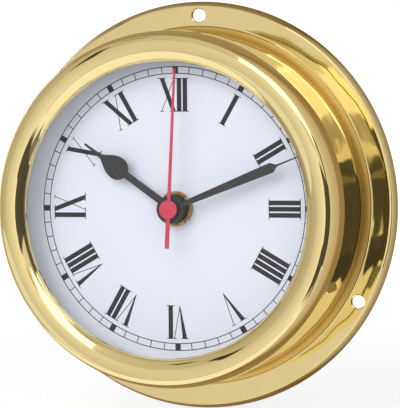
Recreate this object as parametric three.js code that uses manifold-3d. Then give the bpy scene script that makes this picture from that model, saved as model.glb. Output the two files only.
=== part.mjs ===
// A ship's clock for a bulkhead: a spun brass case on a screwed flange, a push-on bezel with its glass,
// a dial with three hands, and the battery quartz movement behind it, with its whole gear train.
// Millimetres, +Z up. The face looks along -Y, and the origin is the middle of the flange's back plane.
// Every piece is drawn in the face frame: x to the right, y up, z from the bulkhead to the viewer.
import * as THREE from 'three';
import { mergeVertices } from 'three/addons/utils/BufferGeometryUtils.js';
import Module from 'manifold-3d';

const wasm = await Module();
wasm.setup();

// Clearances
const FIT = 0.3;
const BEARING_PLAY = 0.3;
const SIDE_PLAY = 0.6;

// Brass case, spun from sheet
const WALL_RADIUS = 52.5;
const SHEET = 1.0;
const FLANGE_WIDTH = 11.0;
const FLANGE_HEIGHT = 3.1;
const RIM_CORNER = 0.8;
const RIM_TOP_ANGLE = 38;
const RIM_FOOT_ANGLE = 10;
const COVE_RADIUS = 2.8;
const SCREW_COUNT = 3;
const SCREW_HOLE_RADIUS = 2.1;
const SCREW_EDGE = 4.3;
const SCREW_BEARING = 90;

// Dial and the rings that hold it
const DIAL_HEIGHT = 25.2;
const DIAL_THICKNESS = 0.8;
const SEAT_RING_WIDTH = 4.0;
const SEAT_RING_THICKNESS = 1.5;
const HOLD_RING_WIDTH = 1.7;

// Bezel and glass
const BEZEL_ABOVE_DIAL = 1.1;
const BEZEL_BULGE = 6.0;
const BEZEL_OVERHANG = 2.5;
const SHOULDER_INSET = 1.4;
const SHOULDER_DROP = 1.1;
const CREST_INSET = 4.4;
const LIP_WIDTH = 5.1;
const LIP_DEPTH = 3.3;
const GLASS_CLEARANCE = 0.3;
const GLASS_THICKNESS = 1.5;
const GASKET_THICKNESS = 1.0;
const RETAINER_THICKNESS = 1.0;
const RETAINER_SPLIT = 5.0;

// Hands: angles clockwise from twelve, lengths from the hand axis
const SECOND_ANGLE = 3.6;
const MINUTE_ANGLE = 68.7;
const HOUR_ANGLE = 305.6;
const HAND_SHEET = 0.4;
const HAND_RISE = 1.1;
const HAND_GAP = 0.2;
const HOUR_LENGTH = 34.7;
const HOUR_STEM = 2.2;
const SPADE_START = 18.3;
const SPADE_WIDTH = 7.1;
const SPADE_TAPER = 8.0;
const SPADE_HIP = 4.0;
const SPADE_POINT = 3.0;
const HOUR_NEEDLE = 0.9;
const MINUTE_EDGE_ROOM = 5.6;
const MINUTE_ROOT = 1.6;
const MINUTE_WIDTH = 3.2;
const MINUTE_BLADE = 35.0;
const MINUTE_SHOULDER = 2.6;
const MINUTE_NEEDLE = 0.6;
const SECOND_EDGE_ROOM = 6.2;
const SECOND_TAIL = 12.0;
const SECOND_TAIL_WIDTH = 1.35;
const SECOND_ROOT = 1.1;
const SECOND_TIP = 0.65;
const HAND_HUB_RADIUS = 4.4;
const SECOND_HUB_RADIUS = 2.85;
const SECOND_HUB_HEIGHT = 0.9;
const COLLET_WALL = 0.7;
const COLLET_DEPTH = 0.7;

// Centre tubes, one inside the other
const SECOND_ARBOR_RADIUS = 0.5;
const TUBE_WALL = 0.7;
const TUBE_STAND = 0.3;
const BUSHING_WALL = 1.2;
const BUSHING_HEAD_WIDTH = 1.5;
const BUSHING_HEAD = 0.6;
const NUT_RADIUS = 5.4;
const NUT_THICKNESS = 1.8;
const NUT_NOTCHES = 4;
const NUT_NOTCH = 1.2;
const NUT_NOTCH_BEARING = 45;
const WASHER_RADIUS = 9.0;
const WASHER_THICKNESS = 0.8;

// Movement box
const BOX_TOP = 19.0;
const BOX_CORNER = 2.5;
const BOX_WALL = 1.5;
const BOX_FLOOR = 1.2;
const COVER_THICKNESS = 1.2;
const TRAIN_ROOM = 37.0;

// Battery of the common finger size
const CELL_RADIUS = 7.25;
const CELL_LENGTH = 49.4;
const CELL_SHOULDER = 0.8;
const CELL_NUB_RADIUS = 2.7;
const CELL_NUB = 1.0;
const CELL_SIDE_ROOM = 0.75;
const CELL_END_ROOM = 0.4;
const CONTACT_SHEET = 0.4;
const CONTACT_WIDTH = 9.0;
const CONTACT_DIMPLE = 2.4;

// Gear train: teeth, distances between arbors, bearings of the arbors seen from the centre
const SECONDS_WHEEL_TEETH = 30;
const SECONDS_PINION_TEETH = 6;
const THIRD_WHEEL_TEETH = 48;
const THIRD_PINION_TEETH = 6;
const CENTRE_WHEEL_TEETH = 45;
const INTERMEDIATE_WHEEL_TEETH = 36;
const INTERMEDIATE_PINION_TEETH = 6;
const ROTOR_PINION_TEETH = 6;
const CANNON_PINION_TEETH = 10;
const REVERSER_WHEEL_TEETH = 30;
const REVERSER_PINION_TEETH = 8;
const HOUR_WHEEL_TEETH = 32;
const THIRD_DISTANCE = 9.7;
const INTERMEDIATE_DISTANCE = 9.8;
const REVERSER_DISTANCE = 10.0;
const ROTOR_DISTANCE = 8.4;
const THIRD_BEARING = 150;
const INTERMEDIATE_BEARING = 30;
const REVERSER_BEARING = 270;
const ROTOR_BEARING = 0;
const ADDENDUM = 0.72;
const DEDENDUM = 1.1;
const TOOTH_TIP_SHARE = 0.2;
const TOOTH_ROOT_SHARE = 0.46;
const WHEEL_THICKNESS = 0.8;
const LAYER_GAP = 0.7;
const ARBOR_RADIUS = 0.6;
const SET_ARBOR_RADIUS = 0.9;
const BOSS_WALL = 0.8;
const BOSS_HEIGHT = 0.8;
const BLIND_WALL = 0.5;
const KNOB_RADIUS = 5.5;
const KNOB_THICKNESS = 2.5;
const KNOB_FLUTES = 20;
const KNOB_FLUTE_DEPTH = 0.35;

// Bridge that carries the rear pivots, on three pillars
const PILLAR_DISTANCE = 14.6;
const PILLAR_RADIUS = 1.6;
const BRIDGE_LOBE = 2.5;
const BRIDGE_THICKNESS = 1.0;

// Stepping motor and circuit
const MAGNET_RADIUS = 2.5;
const MAGNET_LENGTH = 2.4;
const ROTOR_HUB_RADIUS = 0.9;
const STATOR_AIR_GAP = 0.5;
const STATOR_THICKNESS = 0.8;
const STATOR_RIM = 1.5;
const STATOR_NECK = 6.8;
const STATOR_SIDE_ROOM = 1.65;
const STATOR_LEG = 2.3;
const STATOR_REACH = 19.3;
const CORE_HEIGHT = 0.8;
const CORE_WIDTH = 1.6;
const BOBBIN_WALL = 0.4;
const BOBBIN_LIP = 0.1;
const BOBBIN_FLANGE_WIDTH = 0.6;
const WINDING_THICKNESS = 0.6;
const BOARD_WIDTH = 15.5;
const BOARD_LENGTH = 11.8;
const BOARD_THICKNESS = 0.8;
const CRYSTAL_RADIUS = 1.0;
const CRYSTAL_LENGTH = 6.0;

// Facets
const CASE_SEGMENTS = 48;
const RING_SEGMENTS = 36;
const SMALL_SEGMENTS = 12;
const TUBE_SEGMENTS = 18;
const ARC_STEPS = 3;
const INSIDE_STEPS = 2;
const RIM_STEPS = 3;
const CROWN_STEPS = 5;
const LIP_STEPS = 4;
const WELD = 1e-4;

// Heights worked out from the dial, forward to the glass and back to the movement
const flangeRadius = WALL_RADIUS + FLANGE_WIDTH;
const wallInside = WALL_RADIUS - SHEET;
const dialBack = DIAL_HEIGHT - DIAL_THICKNESS;
const dialRadius = wallInside - FIT;
const bushingTop = DIAL_HEIGHT + FIT + NUT_THICKNESS + FIT;
const handStep = HAND_SHEET + TUBE_STAND + HAND_GAP + COLLET_DEPTH;
const hourHeight = bushingTop + HAND_RISE + COLLET_DEPTH;
const minuteHeight = hourHeight + handStep;
const secondHeight = minuteHeight + handStep;
const bezelRear = DIAL_HEIGHT + BEZEL_ABOVE_DIAL;
const glassRear = secondHeight + SECOND_HUB_HEIGHT + GLASS_CLEARANCE;
const glassFront = glassRear + GLASS_THICKNESS;
const lipHeight = glassFront + FIT;
const gasketRear = glassRear - FIT - GASKET_THICKNESS;
const retainerRear = gasketRear - FIT - RETAINER_THICKNESS;
const wallFront = retainerRear - FIT;
const holdRingInside = dialRadius - HOLD_RING_WIDTH;
const boxFront = dialBack - FIT - WASHER_THICKNESS - FIT;
const boxInside = boxFront - BOX_FLOOR;
const bushingHeadFront = boxInside - FIT;

// Front faces of the train's layers, one wheel behind the other
const layerPitch = WHEEL_THICKNESS + LAYER_GAP;
const hourLayer = bushingHeadFront - BUSHING_HEAD - FIT;
const cannonLayer = hourLayer - layerPitch;
const centreLayer = cannonLayer - layerPitch;
const thirdLayer = centreLayer - layerPitch;
const secondsLayer = thirdLayer - layerPitch;
const intermediateLayer = secondsLayer - layerPitch;
const lastLayerRear = intermediateLayer - WHEEL_THICKNESS;

// Behind the train: bridge, motor and the cover, which the cell or the motor sets, whichever is deeper
const bridgeFront = lastLayerRear - SIDE_PLAY;
const bridgeRear = bridgeFront - BRIDGE_THICKNESS;
const deckFront = bridgeRear - FIT;
const magnetFront = lastLayerRear - FIT;
const magnetRear = magnetFront - MAGNET_LENGTH;
const coreMiddle = deckFront + FIT + CORE_HEIGHT / 2;
const bobbinInside = Math.hypot(CORE_HEIGHT, CORE_WIDTH) / 2 + FIT;
const bobbinTube = bobbinInside + BOBBIN_WALL;
const windingInside = bobbinTube + FIT;
const windingOutside = windingInside + WINDING_THICKNESS;
const bobbinFlange = windingOutside + BOBBIN_LIP;
const cellMiddle = boxInside - FIT - CELL_RADIUS;
const cellCover = cellMiddle - CELL_RADIUS + COVER_THICKNESS;
const coverFront = Math.min(cellCover, magnetRear - SIDE_PLAY - FIT, coreMiddle - bobbinFlange - FIT);
const boxRear = coverFront - COVER_THICKNESS;
const frontPivot = boxFront - BLIND_WALL - FIT;
const bossTop = boxInside - BOSS_HEIGHT;

// Tubes on the hand axis
const minuteTubeInside = SECOND_ARBOR_RADIUS + FIT;
const minuteTubeRadius = minuteTubeInside + TUBE_WALL;
const hourTubeInside = minuteTubeRadius + FIT;
const hourTubeRadius = hourTubeInside + TUBE_WALL;
const bushingInside = hourTubeRadius + FIT;
const bushingRadius = bushingInside + BUSHING_WALL;

// Plan of the movement box, as long inside as the cell and its two contacts
const boxInsideHalf = (CELL_LENGTH + CELL_NUB) / 2 + CELL_END_ROOM + 1.5 * CONTACT_SHEET + FIT;
const boxHalf = boxInsideHalf + BOX_WALL;
const trainTop = BOX_TOP - BOX_WALL;
const trainBottom = BOX_TOP - TRAIN_ROOM;
const bayTop = trainBottom - BOX_WALL;
const cellHeight = bayTop - CELL_SIDE_ROOM - CELL_RADIUS;
const bayBottom = cellHeight - CELL_RADIUS - CELL_SIDE_ROOM;
const boxBottom = bayBottom - BOX_WALL;

const radians = THREE.MathUtils.degToRad;
const centreAt = new THREE.Vector2();
const polar = (distance, bearing) => new THREE.Vector2(distance, 0).rotateAround(centreAt, radians(bearing));
// Bearings in degrees of copies spread evenly round a circle
const spread = (count, first) => Array.from({ length: count }, (unused, i) => first + (360 / count) * i);
const thirdAt = polar(THIRD_DISTANCE, THIRD_BEARING);
const intermediateAt = polar(INTERMEDIATE_DISTANCE, INTERMEDIATE_BEARING);
const reverserAt = polar(REVERSER_DISTANCE, REVERSER_BEARING);
const rotorAt = polar(ROTOR_DISTANCE, ROTOR_BEARING).add(intermediateAt);

// The bridge's pillars stand midway between the arbors that it carries
const bridgeBearings = [INTERMEDIATE_BEARING, THIRD_BEARING, REVERSER_BEARING, INTERMEDIATE_BEARING + 360];
const pillarBetween = (i) => polar(PILLAR_DISTANCE, (bridgeBearings[i] + bridgeBearings[i + 1]) / 2);
const pillarsAt = [pillarBetween(0), pillarBetween(1), pillarBetween(2)];

// Finishes
const finish = (color, roughness, metalness) => ({ color, roughness, metalness });
const BRASS = finish(0xd9b45c, 0.16, 1);
const RAW_BRASS = finish(0xb08d4a, 0.38, 1);
const STEEL = finish(0xa8abb0, 0.35, 1);
const MAGNET = finish(0x55565a, 0.6, 0.7);
const DIAL_WHITE = finish(0xe6e9f3, 0.5, 0);
const HAND_BLACK = finish(0x3b3d42, 0.45, 0.1);
const HAND_RED = finish(0xcf3a55, 0.4, 0);
const CLEAR_GLASS = finish(0xf2f6f8, 0.03, 0);
const RUBBER = finish(0x1d1d1f, 0.85, 0);
const MOULDED_BLACK = finish(0x232427, 0.55, 0);
const MOULDED_WHITE = finish(0xe8e6dd, 0.45, 0);
const COPPER = finish(0xa9552c, 0.4, 0.8);
const BOARD_GREEN = finish(0x2c5a3a, 0.6, 0);
const CELL_GREY = finish(0x8d9298, 0.4, 0.5);

// Shapes

function prism(shape, low, high, curveSegments = ARC_STEPS) {
  const options = { depth: high - low, bevelEnabled: false, curveSegments };
  return new THREE.ExtrudeGeometry(shape, options).translate(0, 0, low);
}

function bar(radius, low, high, segments = SMALL_SEGMENTS) {
  const geometry = new THREE.CylinderGeometry(radius, radius, high - low, segments);
  return geometry.rotateX(Math.PI / 2).translate(0, 0, (low + high) / 2);
}

function block(left, right, bottom, top, low, high) {
  const geometry = new THREE.BoxGeometry(right - left, top - bottom, high - low);
  return geometry.translate((left + right) / 2, (bottom + top) / 2, (low + high) / 2);
}

// A profile of (radius, height) pairs that runs counter-clockwise, closed on itself
function revolve(profile, segments) {
  const points = [...profile, profile[0]].map(([radius, height]) => new THREE.Vector2(radius, height));
  return new THREE.LatheGeometry(points, segments).rotateX(Math.PI / 2);
}

function ring(inside, outside, low, high, segments = RING_SEGMENTS) {
  return revolve([[inside, low], [outside, low], [outside, high], [inside, high]], segments);
}

// Points of a quarter of an ellipse between two angles in degrees
function quarter(middleRadius, middleHeight, acrossRadius, alongHeight, from, to, steps = ARC_STEPS) {
  return Array.from({ length: steps + 1 }, (unused, i) => {
    const angle = radians(from + ((to - from) * i) / steps);
    return [middleRadius + acrossRadius * Math.cos(angle), middleHeight + alongHeight * Math.sin(angle)];
  });
}

function roundedRectangle(left, right, bottom, top, corner) {
  const shape = new THREE.Shape();
  shape.absarc(right - corner, top - corner, corner, 0, Math.PI / 2);
  shape.absarc(left + corner, top - corner, corner, Math.PI / 2, Math.PI);
  shape.absarc(left + corner, bottom + corner, corner, Math.PI, 1.5 * Math.PI);
  shape.absarc(right - corner, bottom + corner, corner, 1.5 * Math.PI, 2 * Math.PI);
  return shape;
}

// Joins and cuts

function solidOf(geometry) {
  const bare = geometry.clone();
  bare.deleteAttribute('normal');
  bare.deleteAttribute('uv');
  const merged = mergeVertices(bare, WELD);
  const triangles = [];
  for (let i = 0; i < merged.index.count; i += 3) {
    const corners = [0, 1, 2].map((k) => merged.index.getX(i + k));
    if (new Set(corners).size === 3) triangles.push(...corners);
  }
  const mesh = new wasm.Mesh({
    numProp: 3,
    vertProperties: new Float32Array(merged.attributes.position.array),
    triVerts: new Uint32Array(triangles),
  });
  return new wasm.Manifold(mesh);
}

function geometryOf(solid) {
  const { vertProperties, triVerts } = solid.getMesh();
  const geometry = new THREE.BufferGeometry();
  geometry.setAttribute('position', new THREE.BufferAttribute(vertProperties, 3));
  geometry.setIndex(new THREE.BufferAttribute(triVerts, 1));
  geometry.computeVertexNormals();
  return geometry;
}

const join = (...pieces) => geometryOf(pieces.map(solidOf).reduce((sum, next) => sum.add(next)));
const without = (rest, tool) => rest.subtract(tool);
const cut = (body, ...tools) => geometryOf(tools.map(solidOf).reduce(without, solidOf(body)));
const at = (geometry, place) => geometry.translate(place.x, place.y, 0);

function piece(name, geometry, { color, roughness, metalness }, place = centreAt) {
  const mesh = new THREE.Mesh(geometry, new THREE.MeshStandardMaterial({ color, roughness, metalness }));
  mesh.name = name;
  mesh.position.set(place.x, place.y, 0);
  return mesh;
}

// Gears

const moduleFor = (distance, teethA, teethB) => (2 * distance) / (teethA + teethB);

// Tooth flanks are straight, four points to a tooth; phase is the angle of one tooth's middle
function gear(teeth, size, phase, low, high) {
  const pitchRadius = (size * teeth) / 2;
  const tip = pitchRadius + ADDENDUM * size;
  const root = pitchRadius - DEDENDUM * size;
  const pitch = (2 * Math.PI) / teeth;
  const corners = [
    [root, -TOOTH_ROOT_SHARE],
    [tip, -TOOTH_TIP_SHARE],
    [tip, TOOTH_TIP_SHARE],
    [root, TOOTH_ROOT_SHARE],
  ];
  const outline = [];
  for (let tooth = 0; tooth < teeth; tooth += 1) {
    for (const [radius, share] of corners) {
      const angle = phase + (tooth + share / 2) * pitch;
      outline.push(new THREE.Vector2(radius * Math.cos(angle), radius * Math.sin(angle)));
    }
  }
  return prism(new THREE.Shape(outline), low, high);
}

// Phase of a gear whose gap faces a tooth of its mate, across the line between the two arbors
function meshPhase(mateTeeth, matePhase, teeth, bearing) {
  const towards = radians(bearing);
  const mateShare = ((towards - matePhase) * mateTeeth) / (2 * Math.PI);
  return towards + Math.PI - ((0.5 - mateShare) * 2 * Math.PI) / teeth;
}

const wheelAt = (teeth, size, phase, front, extra = 0) =>
  gear(teeth, size, phase, front - WHEEL_THICKNESS - extra, front + extra);
// A pinion that stands in one layer on the wheel of the layer behind it
const pinionAt = (teeth, size, phase, front) =>
  gear(teeth, size, phase, front - layerPitch - FIT, front + FIT);

const secondsSize = moduleFor(INTERMEDIATE_DISTANCE, SECONDS_WHEEL_TEETH, INTERMEDIATE_PINION_TEETH);
const thirdSize = moduleFor(THIRD_DISTANCE, THIRD_WHEEL_TEETH, SECONDS_PINION_TEETH);
const centreSize = moduleFor(THIRD_DISTANCE, CENTRE_WHEEL_TEETH, THIRD_PINION_TEETH);
const rotorSize = moduleFor(ROTOR_DISTANCE, INTERMEDIATE_WHEEL_TEETH, ROTOR_PINION_TEETH);
const cannonSize = moduleFor(REVERSER_DISTANCE, CANNON_PINION_TEETH, REVERSER_WHEEL_TEETH);
const hourSize = moduleFor(REVERSER_DISTANCE, HOUR_WHEEL_TEETH, REVERSER_PINION_TEETH);

const thirdPhase = meshPhase(SECONDS_PINION_TEETH, 0, THIRD_WHEEL_TEETH, THIRD_BEARING);
const centrePhase = meshPhase(THIRD_PINION_TEETH, 0, CENTRE_WHEEL_TEETH, THIRD_BEARING + 180);
const intermediatePhase = meshPhase(SECONDS_WHEEL_TEETH, 0, INTERMEDIATE_PINION_TEETH, INTERMEDIATE_BEARING);
const rotorPhase = meshPhase(INTERMEDIATE_WHEEL_TEETH, 0, ROTOR_PINION_TEETH, ROTOR_BEARING);
const reverserPhase = meshPhase(CANNON_PINION_TEETH, 0, REVERSER_WHEEL_TEETH, REVERSER_BEARING);
const hourPhase = meshPhase(REVERSER_PINION_TEETH, 0, HOUR_WHEEL_TEETH, REVERSER_BEARING + 180);

// Case

function caseBody() {
  const rimTop = radians(RIM_TOP_ANGLE);
  const rimFoot = radians(RIM_FOOT_ANGLE);
  const rimDrop = FLANGE_HEIGHT - RIM_CORNER * (1 - Math.sin(rimTop));
  const rimSweep = rimDrop / (Math.sin(rimTop) - Math.sin(rimFoot));
  const rimMiddle = flangeRadius - rimSweep * Math.cos(rimFoot);
  const rimBase = -rimSweep * Math.sin(rimFoot);
  const cornerMiddle = rimMiddle + (rimSweep - RIM_CORNER) * Math.cos(rimTop);
  const cornerBase = FLANGE_HEIGHT - RIM_CORNER;
  const coveMiddle = WALL_RADIUS + COVE_RADIUS;
  const coveTop = FLANGE_HEIGHT + COVE_RADIUS;
  const inCove = COVE_RADIUS + SHEET;
  const shell = revolve([
    [flangeRadius - SHEET, 0],
    ...quarter(rimMiddle, rimBase, rimSweep, rimSweep, RIM_FOOT_ANGLE, RIM_TOP_ANGLE, RIM_STEPS),
    ...quarter(cornerMiddle, cornerBase, RIM_CORNER, RIM_CORNER, RIM_TOP_ANGLE, 90, RIM_STEPS).slice(1),
    ...quarter(coveMiddle, coveTop, COVE_RADIUS, COVE_RADIUS, 270, 180),
    [WALL_RADIUS, wallFront],
    [wallInside, wallFront],
    ...quarter(coveMiddle, coveTop, inCove, inCove, 180, 270, INSIDE_STEPS),
    [rimMiddle + (rimSweep - SHEET) * Math.cos(rimTop), FLANGE_HEIGHT - SHEET],
  ], CASE_SEGMENTS);
  const holes = spread(SCREW_COUNT, SCREW_BEARING).map((bearing) => {
    const hole = bar(SCREW_HOLE_RADIUS, -FIT, FLANGE_HEIGHT + FIT);
    return at(hole, polar(flangeRadius - SCREW_EDGE, bearing));
  });
  return cut(shell, ...holes);
}

const dialSeat = () =>
  ring(dialRadius - SEAT_RING_WIDTH, dialRadius, dialBack - FIT - SEAT_RING_THICKNESS, dialBack - FIT);
const dialPlate = () => ring(bushingRadius + FIT, dialRadius, dialBack, DIAL_HEIGHT, CASE_SEGMENTS);
const dialHold = () => ring(holdRingInside, dialRadius, DIAL_HEIGHT + FIT, wallFront);

// Bezel: a rolled shell that swells behind, leans in to its shoulder, crowns and turns in to the lip

function bezelRing() {
  const skirtInside = WALL_RADIUS + FIT;
  const skirt = skirtInside + SHEET;
  const widest = WALL_RADIUS + BEZEL_OVERHANG;
  const widestHeight = bezelRear + BEZEL_BULGE;
  const crest = widest - CREST_INSET;
  const crown = CREST_INSET - SHOULDER_INSET;
  const shoulderHeight = lipHeight + LIP_DEPTH - SHOULDER_DROP;
  const bulge = widest - skirt;
  const inLip = LIP_WIDTH - SHEET;
  return revolve([
    [skirtInside, bezelRear],
    ...quarter(skirt, widestHeight, bulge, BEZEL_BULGE, -90, 0),
    ...quarter(crest, shoulderHeight, crown, SHOULDER_DROP, 0, 90, CROWN_STEPS).slice(1),
    ...quarter(crest, lipHeight, LIP_WIDTH, LIP_DEPTH, 90, 180, LIP_STEPS).slice(1),
    ...quarter(crest, lipHeight, inLip, LIP_DEPTH - SHEET, 180, 90, INSIDE_STEPS),
    [crest + crown - SHEET, shoulderHeight - SHEET / 2],
    ...quarter(skirtInside, widestHeight, bulge, BEZEL_BULGE, 0, -90, INSIDE_STEPS).slice(0, -1),
  ], CASE_SEGMENTS);
}

const glassDisc = () => bar(dialRadius - FIT, glassRear, glassFront, CASE_SEGMENTS);
const glassGasket = () => ring(holdRingInside, dialRadius - FIT, gasketRear, glassRear - FIT);

function glassRetainer() {
  const front = retainerRear + RETAINER_THICKNESS;
  const outside = WALL_RADIUS + BEZEL_OVERHANG - SHEET - 2 * FIT;
  const half = RETAINER_SPLIT / 2;
  const gap = block(-half, half, -outside - FIT, -holdRingInside + FIT, retainerRear - FIT, front + FIT);
  return cut(ring(holdRingInside, outside, retainerRear, front), gap);
}

// Hands, drawn pointing up

// An outline from its right side, which runs outwards from the tail to the tip
function mirrored(side) {
  const left = side.map((point) => new THREE.Vector2(-point.x, point.y)).reverse();
  return new THREE.Shape([...side, ...left]);
}

function spadeOutline() {
  const stem = HOUR_STEM / 2;
  const belly = SPADE_WIDTH / 2;
  const needle = HOUR_NEEDLE / 2;
  const wide = SPADE_START + Math.sqrt(belly ** 2 - stem ** 2);
  const end = wide + SPADE_TAPER;
  const side = new THREE.Path();
  side.moveTo(stem, 0);
  side.lineTo(stem, SPADE_START);
  side.absarc(0, wide, belly, -Math.acos(stem / belly), 0);
  side.bezierCurveTo(belly, wide + SPADE_HIP, needle, end - SPADE_POINT, needle, end);
  side.lineTo(needle / 2, HOUR_LENGTH);
  return mirrored(side.getPoints(ARC_STEPS));
}

const bladeOutline = (corners) => mirrored(corners.map(([half, along]) => new THREE.Vector2(half, along)));

const minuteOutline = () => bladeOutline([
  [MINUTE_ROOT / 2, 0],
  [MINUTE_WIDTH / 2, MINUTE_BLADE],
  [MINUTE_NEEDLE / 2, MINUTE_BLADE + MINUTE_SHOULDER],
  [MINUTE_NEEDLE / 4, holdRingInside - MINUTE_EDGE_ROOM],
]);

const secondOutline = () => bladeOutline([
  [SECOND_TAIL_WIDTH / 2, -SECOND_TAIL],
  [SECOND_ROOT / 2, 0],
  [SECOND_TIP / 2, holdRingInside - SECOND_EDGE_ROOM],
]);

// A sheet hand on a round hub, with a collet that grips its tube
function sheetHand(outline, low, tubeRadius) {
  const high = low + HAND_SHEET;
  const bore = tubeRadius + FIT;
  const collet = bar(bore + COLLET_WALL, low - COLLET_DEPTH, high, TUBE_SEGMENTS);
  const hub = bar(HAND_HUB_RADIUS, low, high, TUBE_SEGMENTS);
  return cut(join(prism(outline, low, high), hub, collet), bar(bore, low - COLLET_DEPTH - FIT, high + FIT));
}

function secondHand() {
  const high = secondHeight + HAND_SHEET;
  const arm = prism(secondOutline(), secondHeight, high);
  const cap = bar(SECOND_HUB_RADIUS, secondHeight, secondHeight + SECOND_HUB_HEIGHT, TUBE_SEGMENTS);
  const bore = SECOND_ARBOR_RADIUS + FIT;
  const collet = bar(bore + COLLET_WALL, secondHeight - COLLET_DEPTH, high);
  return cut(join(arm, cap, collet), bar(bore, secondHeight - COLLET_DEPTH - FIT, high));
}

// Bushing, nut and washer that clamp the movement to the dial

function threadedBushing() {
  const headRear = bushingHeadFront - BUSHING_HEAD;
  return revolve([
    [bushingInside, headRear],
    [bushingRadius + BUSHING_HEAD_WIDTH, headRear],
    [bushingRadius + BUSHING_HEAD_WIDTH, bushingHeadFront],
    [bushingRadius, bushingHeadFront],
    [bushingRadius, bushingTop],
    [bushingInside, bushingTop],
  ], TUBE_SEGMENTS);
}

function bushingNut() {
  const low = DIAL_HEIGHT + FIT;
  const high = low + NUT_THICKNESS;
  const half = NUT_NOTCH / 2;
  const body = ring(bushingRadius + FIT, NUT_RADIUS, low, high);
  const notches = spread(NUT_NOTCHES, NUT_NOTCH_BEARING).map((bearing) => {
    const notch = block(NUT_RADIUS - half, NUT_RADIUS + FIT, -half, half, low - FIT, high + FIT);
    return notch.rotateZ(radians(bearing));
  });
  return cut(body, ...notches);
}

const rubberWasher = () =>
  ring(bushingRadius + FIT, WASHER_RADIUS, boxFront + FIT, dialBack - FIT, TUBE_SEGMENTS);

// Movement box

function movementHousing() {
  const rear = coverFront + FIT;
  const outline = roundedRectangle(-boxHalf, boxHalf, boxBottom, BOX_TOP, BOX_CORNER);
  const body = prism(outline, rear, boxFront);
  const trainRoom = block(-boxInsideHalf, boxInsideHalf, trainBottom, trainTop, rear - FIT, boxInside);
  const bay = block(-boxInsideHalf, boxInsideHalf, bayBottom, bayTop, rear - FIT, boxInside);
  const arbors = [thirdAt, intermediateAt, reverserAt, rotorAt];
  const boreRadius = ARBOR_RADIUS + BEARING_PLAY;
  const bosses = arbors.map((place) => at(bar(boreRadius + BOSS_WALL, bossTop, boxInside + FIT), place));
  const bores = arbors.map((place) => at(bar(boreRadius, bossTop - FIT, boxFront - BLIND_WALL), place));
  const pillars = pillarsAt.map((place) => at(bar(PILLAR_RADIUS, bridgeFront + FIT, boxInside + FIT), place));
  const centreHole = bar(bushingRadius + FIT, boxInside - FIT, boxFront + FIT, TUBE_SEGMENTS);
  return cut(join(cut(body, trainRoom, bay), ...bosses, ...pillars), ...bores, centreHole);
}

function rearCover() {
  const outline = roundedRectangle(-boxHalf, boxHalf, bayTop, BOX_TOP, BOX_CORNER);
  const plate = prism(outline, boxRear, coverFront);
  const boreRadius = ARBOR_RADIUS + BEARING_PLAY;
  const bossFront = magnetRear - FIT;
  const boss = at(bar(boreRadius + BOSS_WALL, boxRear, bossFront), rotorAt);
  const bore = at(bar(boreRadius, boxRear + BLIND_WALL, bossFront + FIT), rotorAt);
  const setHole = at(bar(SET_ARBOR_RADIUS + BEARING_PLAY, boxRear - FIT, coverFront + FIT), reverserAt);
  return cut(join(plate, boss), bore, setHole);
}

function trainBridge() {
  const corners = [intermediateAt, pillarsAt[0], thirdAt, pillarsAt[1], reverserAt, pillarsAt[2]];
  const plate = prism(new THREE.Shape(corners), bridgeRear, bridgeFront);
  const lobes = corners.map((place) => at(bar(BRIDGE_LOBE, bridgeRear, bridgeFront), place));
  const hole = (radius, place) => at(bar(radius + BEARING_PLAY, bridgeRear - FIT, bridgeFront + FIT), place);
  return cut(
    join(plate, ...lobes),
    hole(SECOND_ARBOR_RADIUS, centreAt),
    hole(ARBOR_RADIUS, thirdAt),
    hole(ARBOR_RADIUS, intermediateAt),
    hole(SET_ARBOR_RADIUS, reverserAt),
  );
}

// Going train

function secondsWheel() {
  const wheel = wheelAt(SECONDS_WHEEL_TEETH, secondsSize, 0, secondsLayer);
  const pinion = pinionAt(SECONDS_PINION_TEETH, thirdSize, 0, thirdLayer);
  return join(wheel, pinion, bar(SECOND_ARBOR_RADIUS, bridgeRear, secondHeight + HAND_SHEET - FIT));
}

function thirdWheel() {
  const wheel = wheelAt(THIRD_WHEEL_TEETH, thirdSize, thirdPhase, thirdLayer);
  const pinion = pinionAt(THIRD_PINION_TEETH, centreSize, 0, centreLayer);
  return join(wheel, pinion, bar(ARBOR_RADIUS, bridgeRear, frontPivot));
}

function centreWheel() {
  const wheel = wheelAt(CENTRE_WHEEL_TEETH, centreSize, centrePhase, centreLayer);
  return cut(wheel, bar(minuteTubeRadius + FIT, thirdLayer, cannonLayer));
}

function intermediateWheel() {
  const wheel = wheelAt(INTERMEDIATE_WHEEL_TEETH, rotorSize, 0, intermediateLayer);
  const pinion = pinionAt(INTERMEDIATE_PINION_TEETH, secondsSize, intermediatePhase, secondsLayer);
  return join(wheel, pinion, bar(ARBOR_RADIUS, bridgeRear, frontPivot));
}

function rotorPinion() {
  const pinion = wheelAt(ROTOR_PINION_TEETH, rotorSize, rotorPhase, intermediateLayer, FIT);
  const hub = bar(ROTOR_HUB_RADIUS, magnetRear, magnetFront + FIT / 2);
  return join(pinion, hub, bar(ARBOR_RADIUS, boxRear + BLIND_WALL + FIT, frontPivot));
}

const rotorMagnet = () =>
  ring(ROTOR_HUB_RADIUS + FIT, MAGNET_RADIUS, magnetRear, magnetFront - FIT, TUBE_SEGMENTS);

// Motion work: minute tube, reverser and hour tube, and the knob that sets them

function cannonPinion() {
  const pinion = wheelAt(CANNON_PINION_TEETH, cannonSize, 0, cannonLayer, FIT);
  const top = minuteHeight + HAND_SHEET + TUBE_STAND;
  const tube = bar(minuteTubeRadius, centreLayer - WHEEL_THICKNESS, top, TUBE_SEGMENTS);
  return cut(join(pinion, tube), bar(minuteTubeInside, thirdLayer, top + FIT));
}

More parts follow.
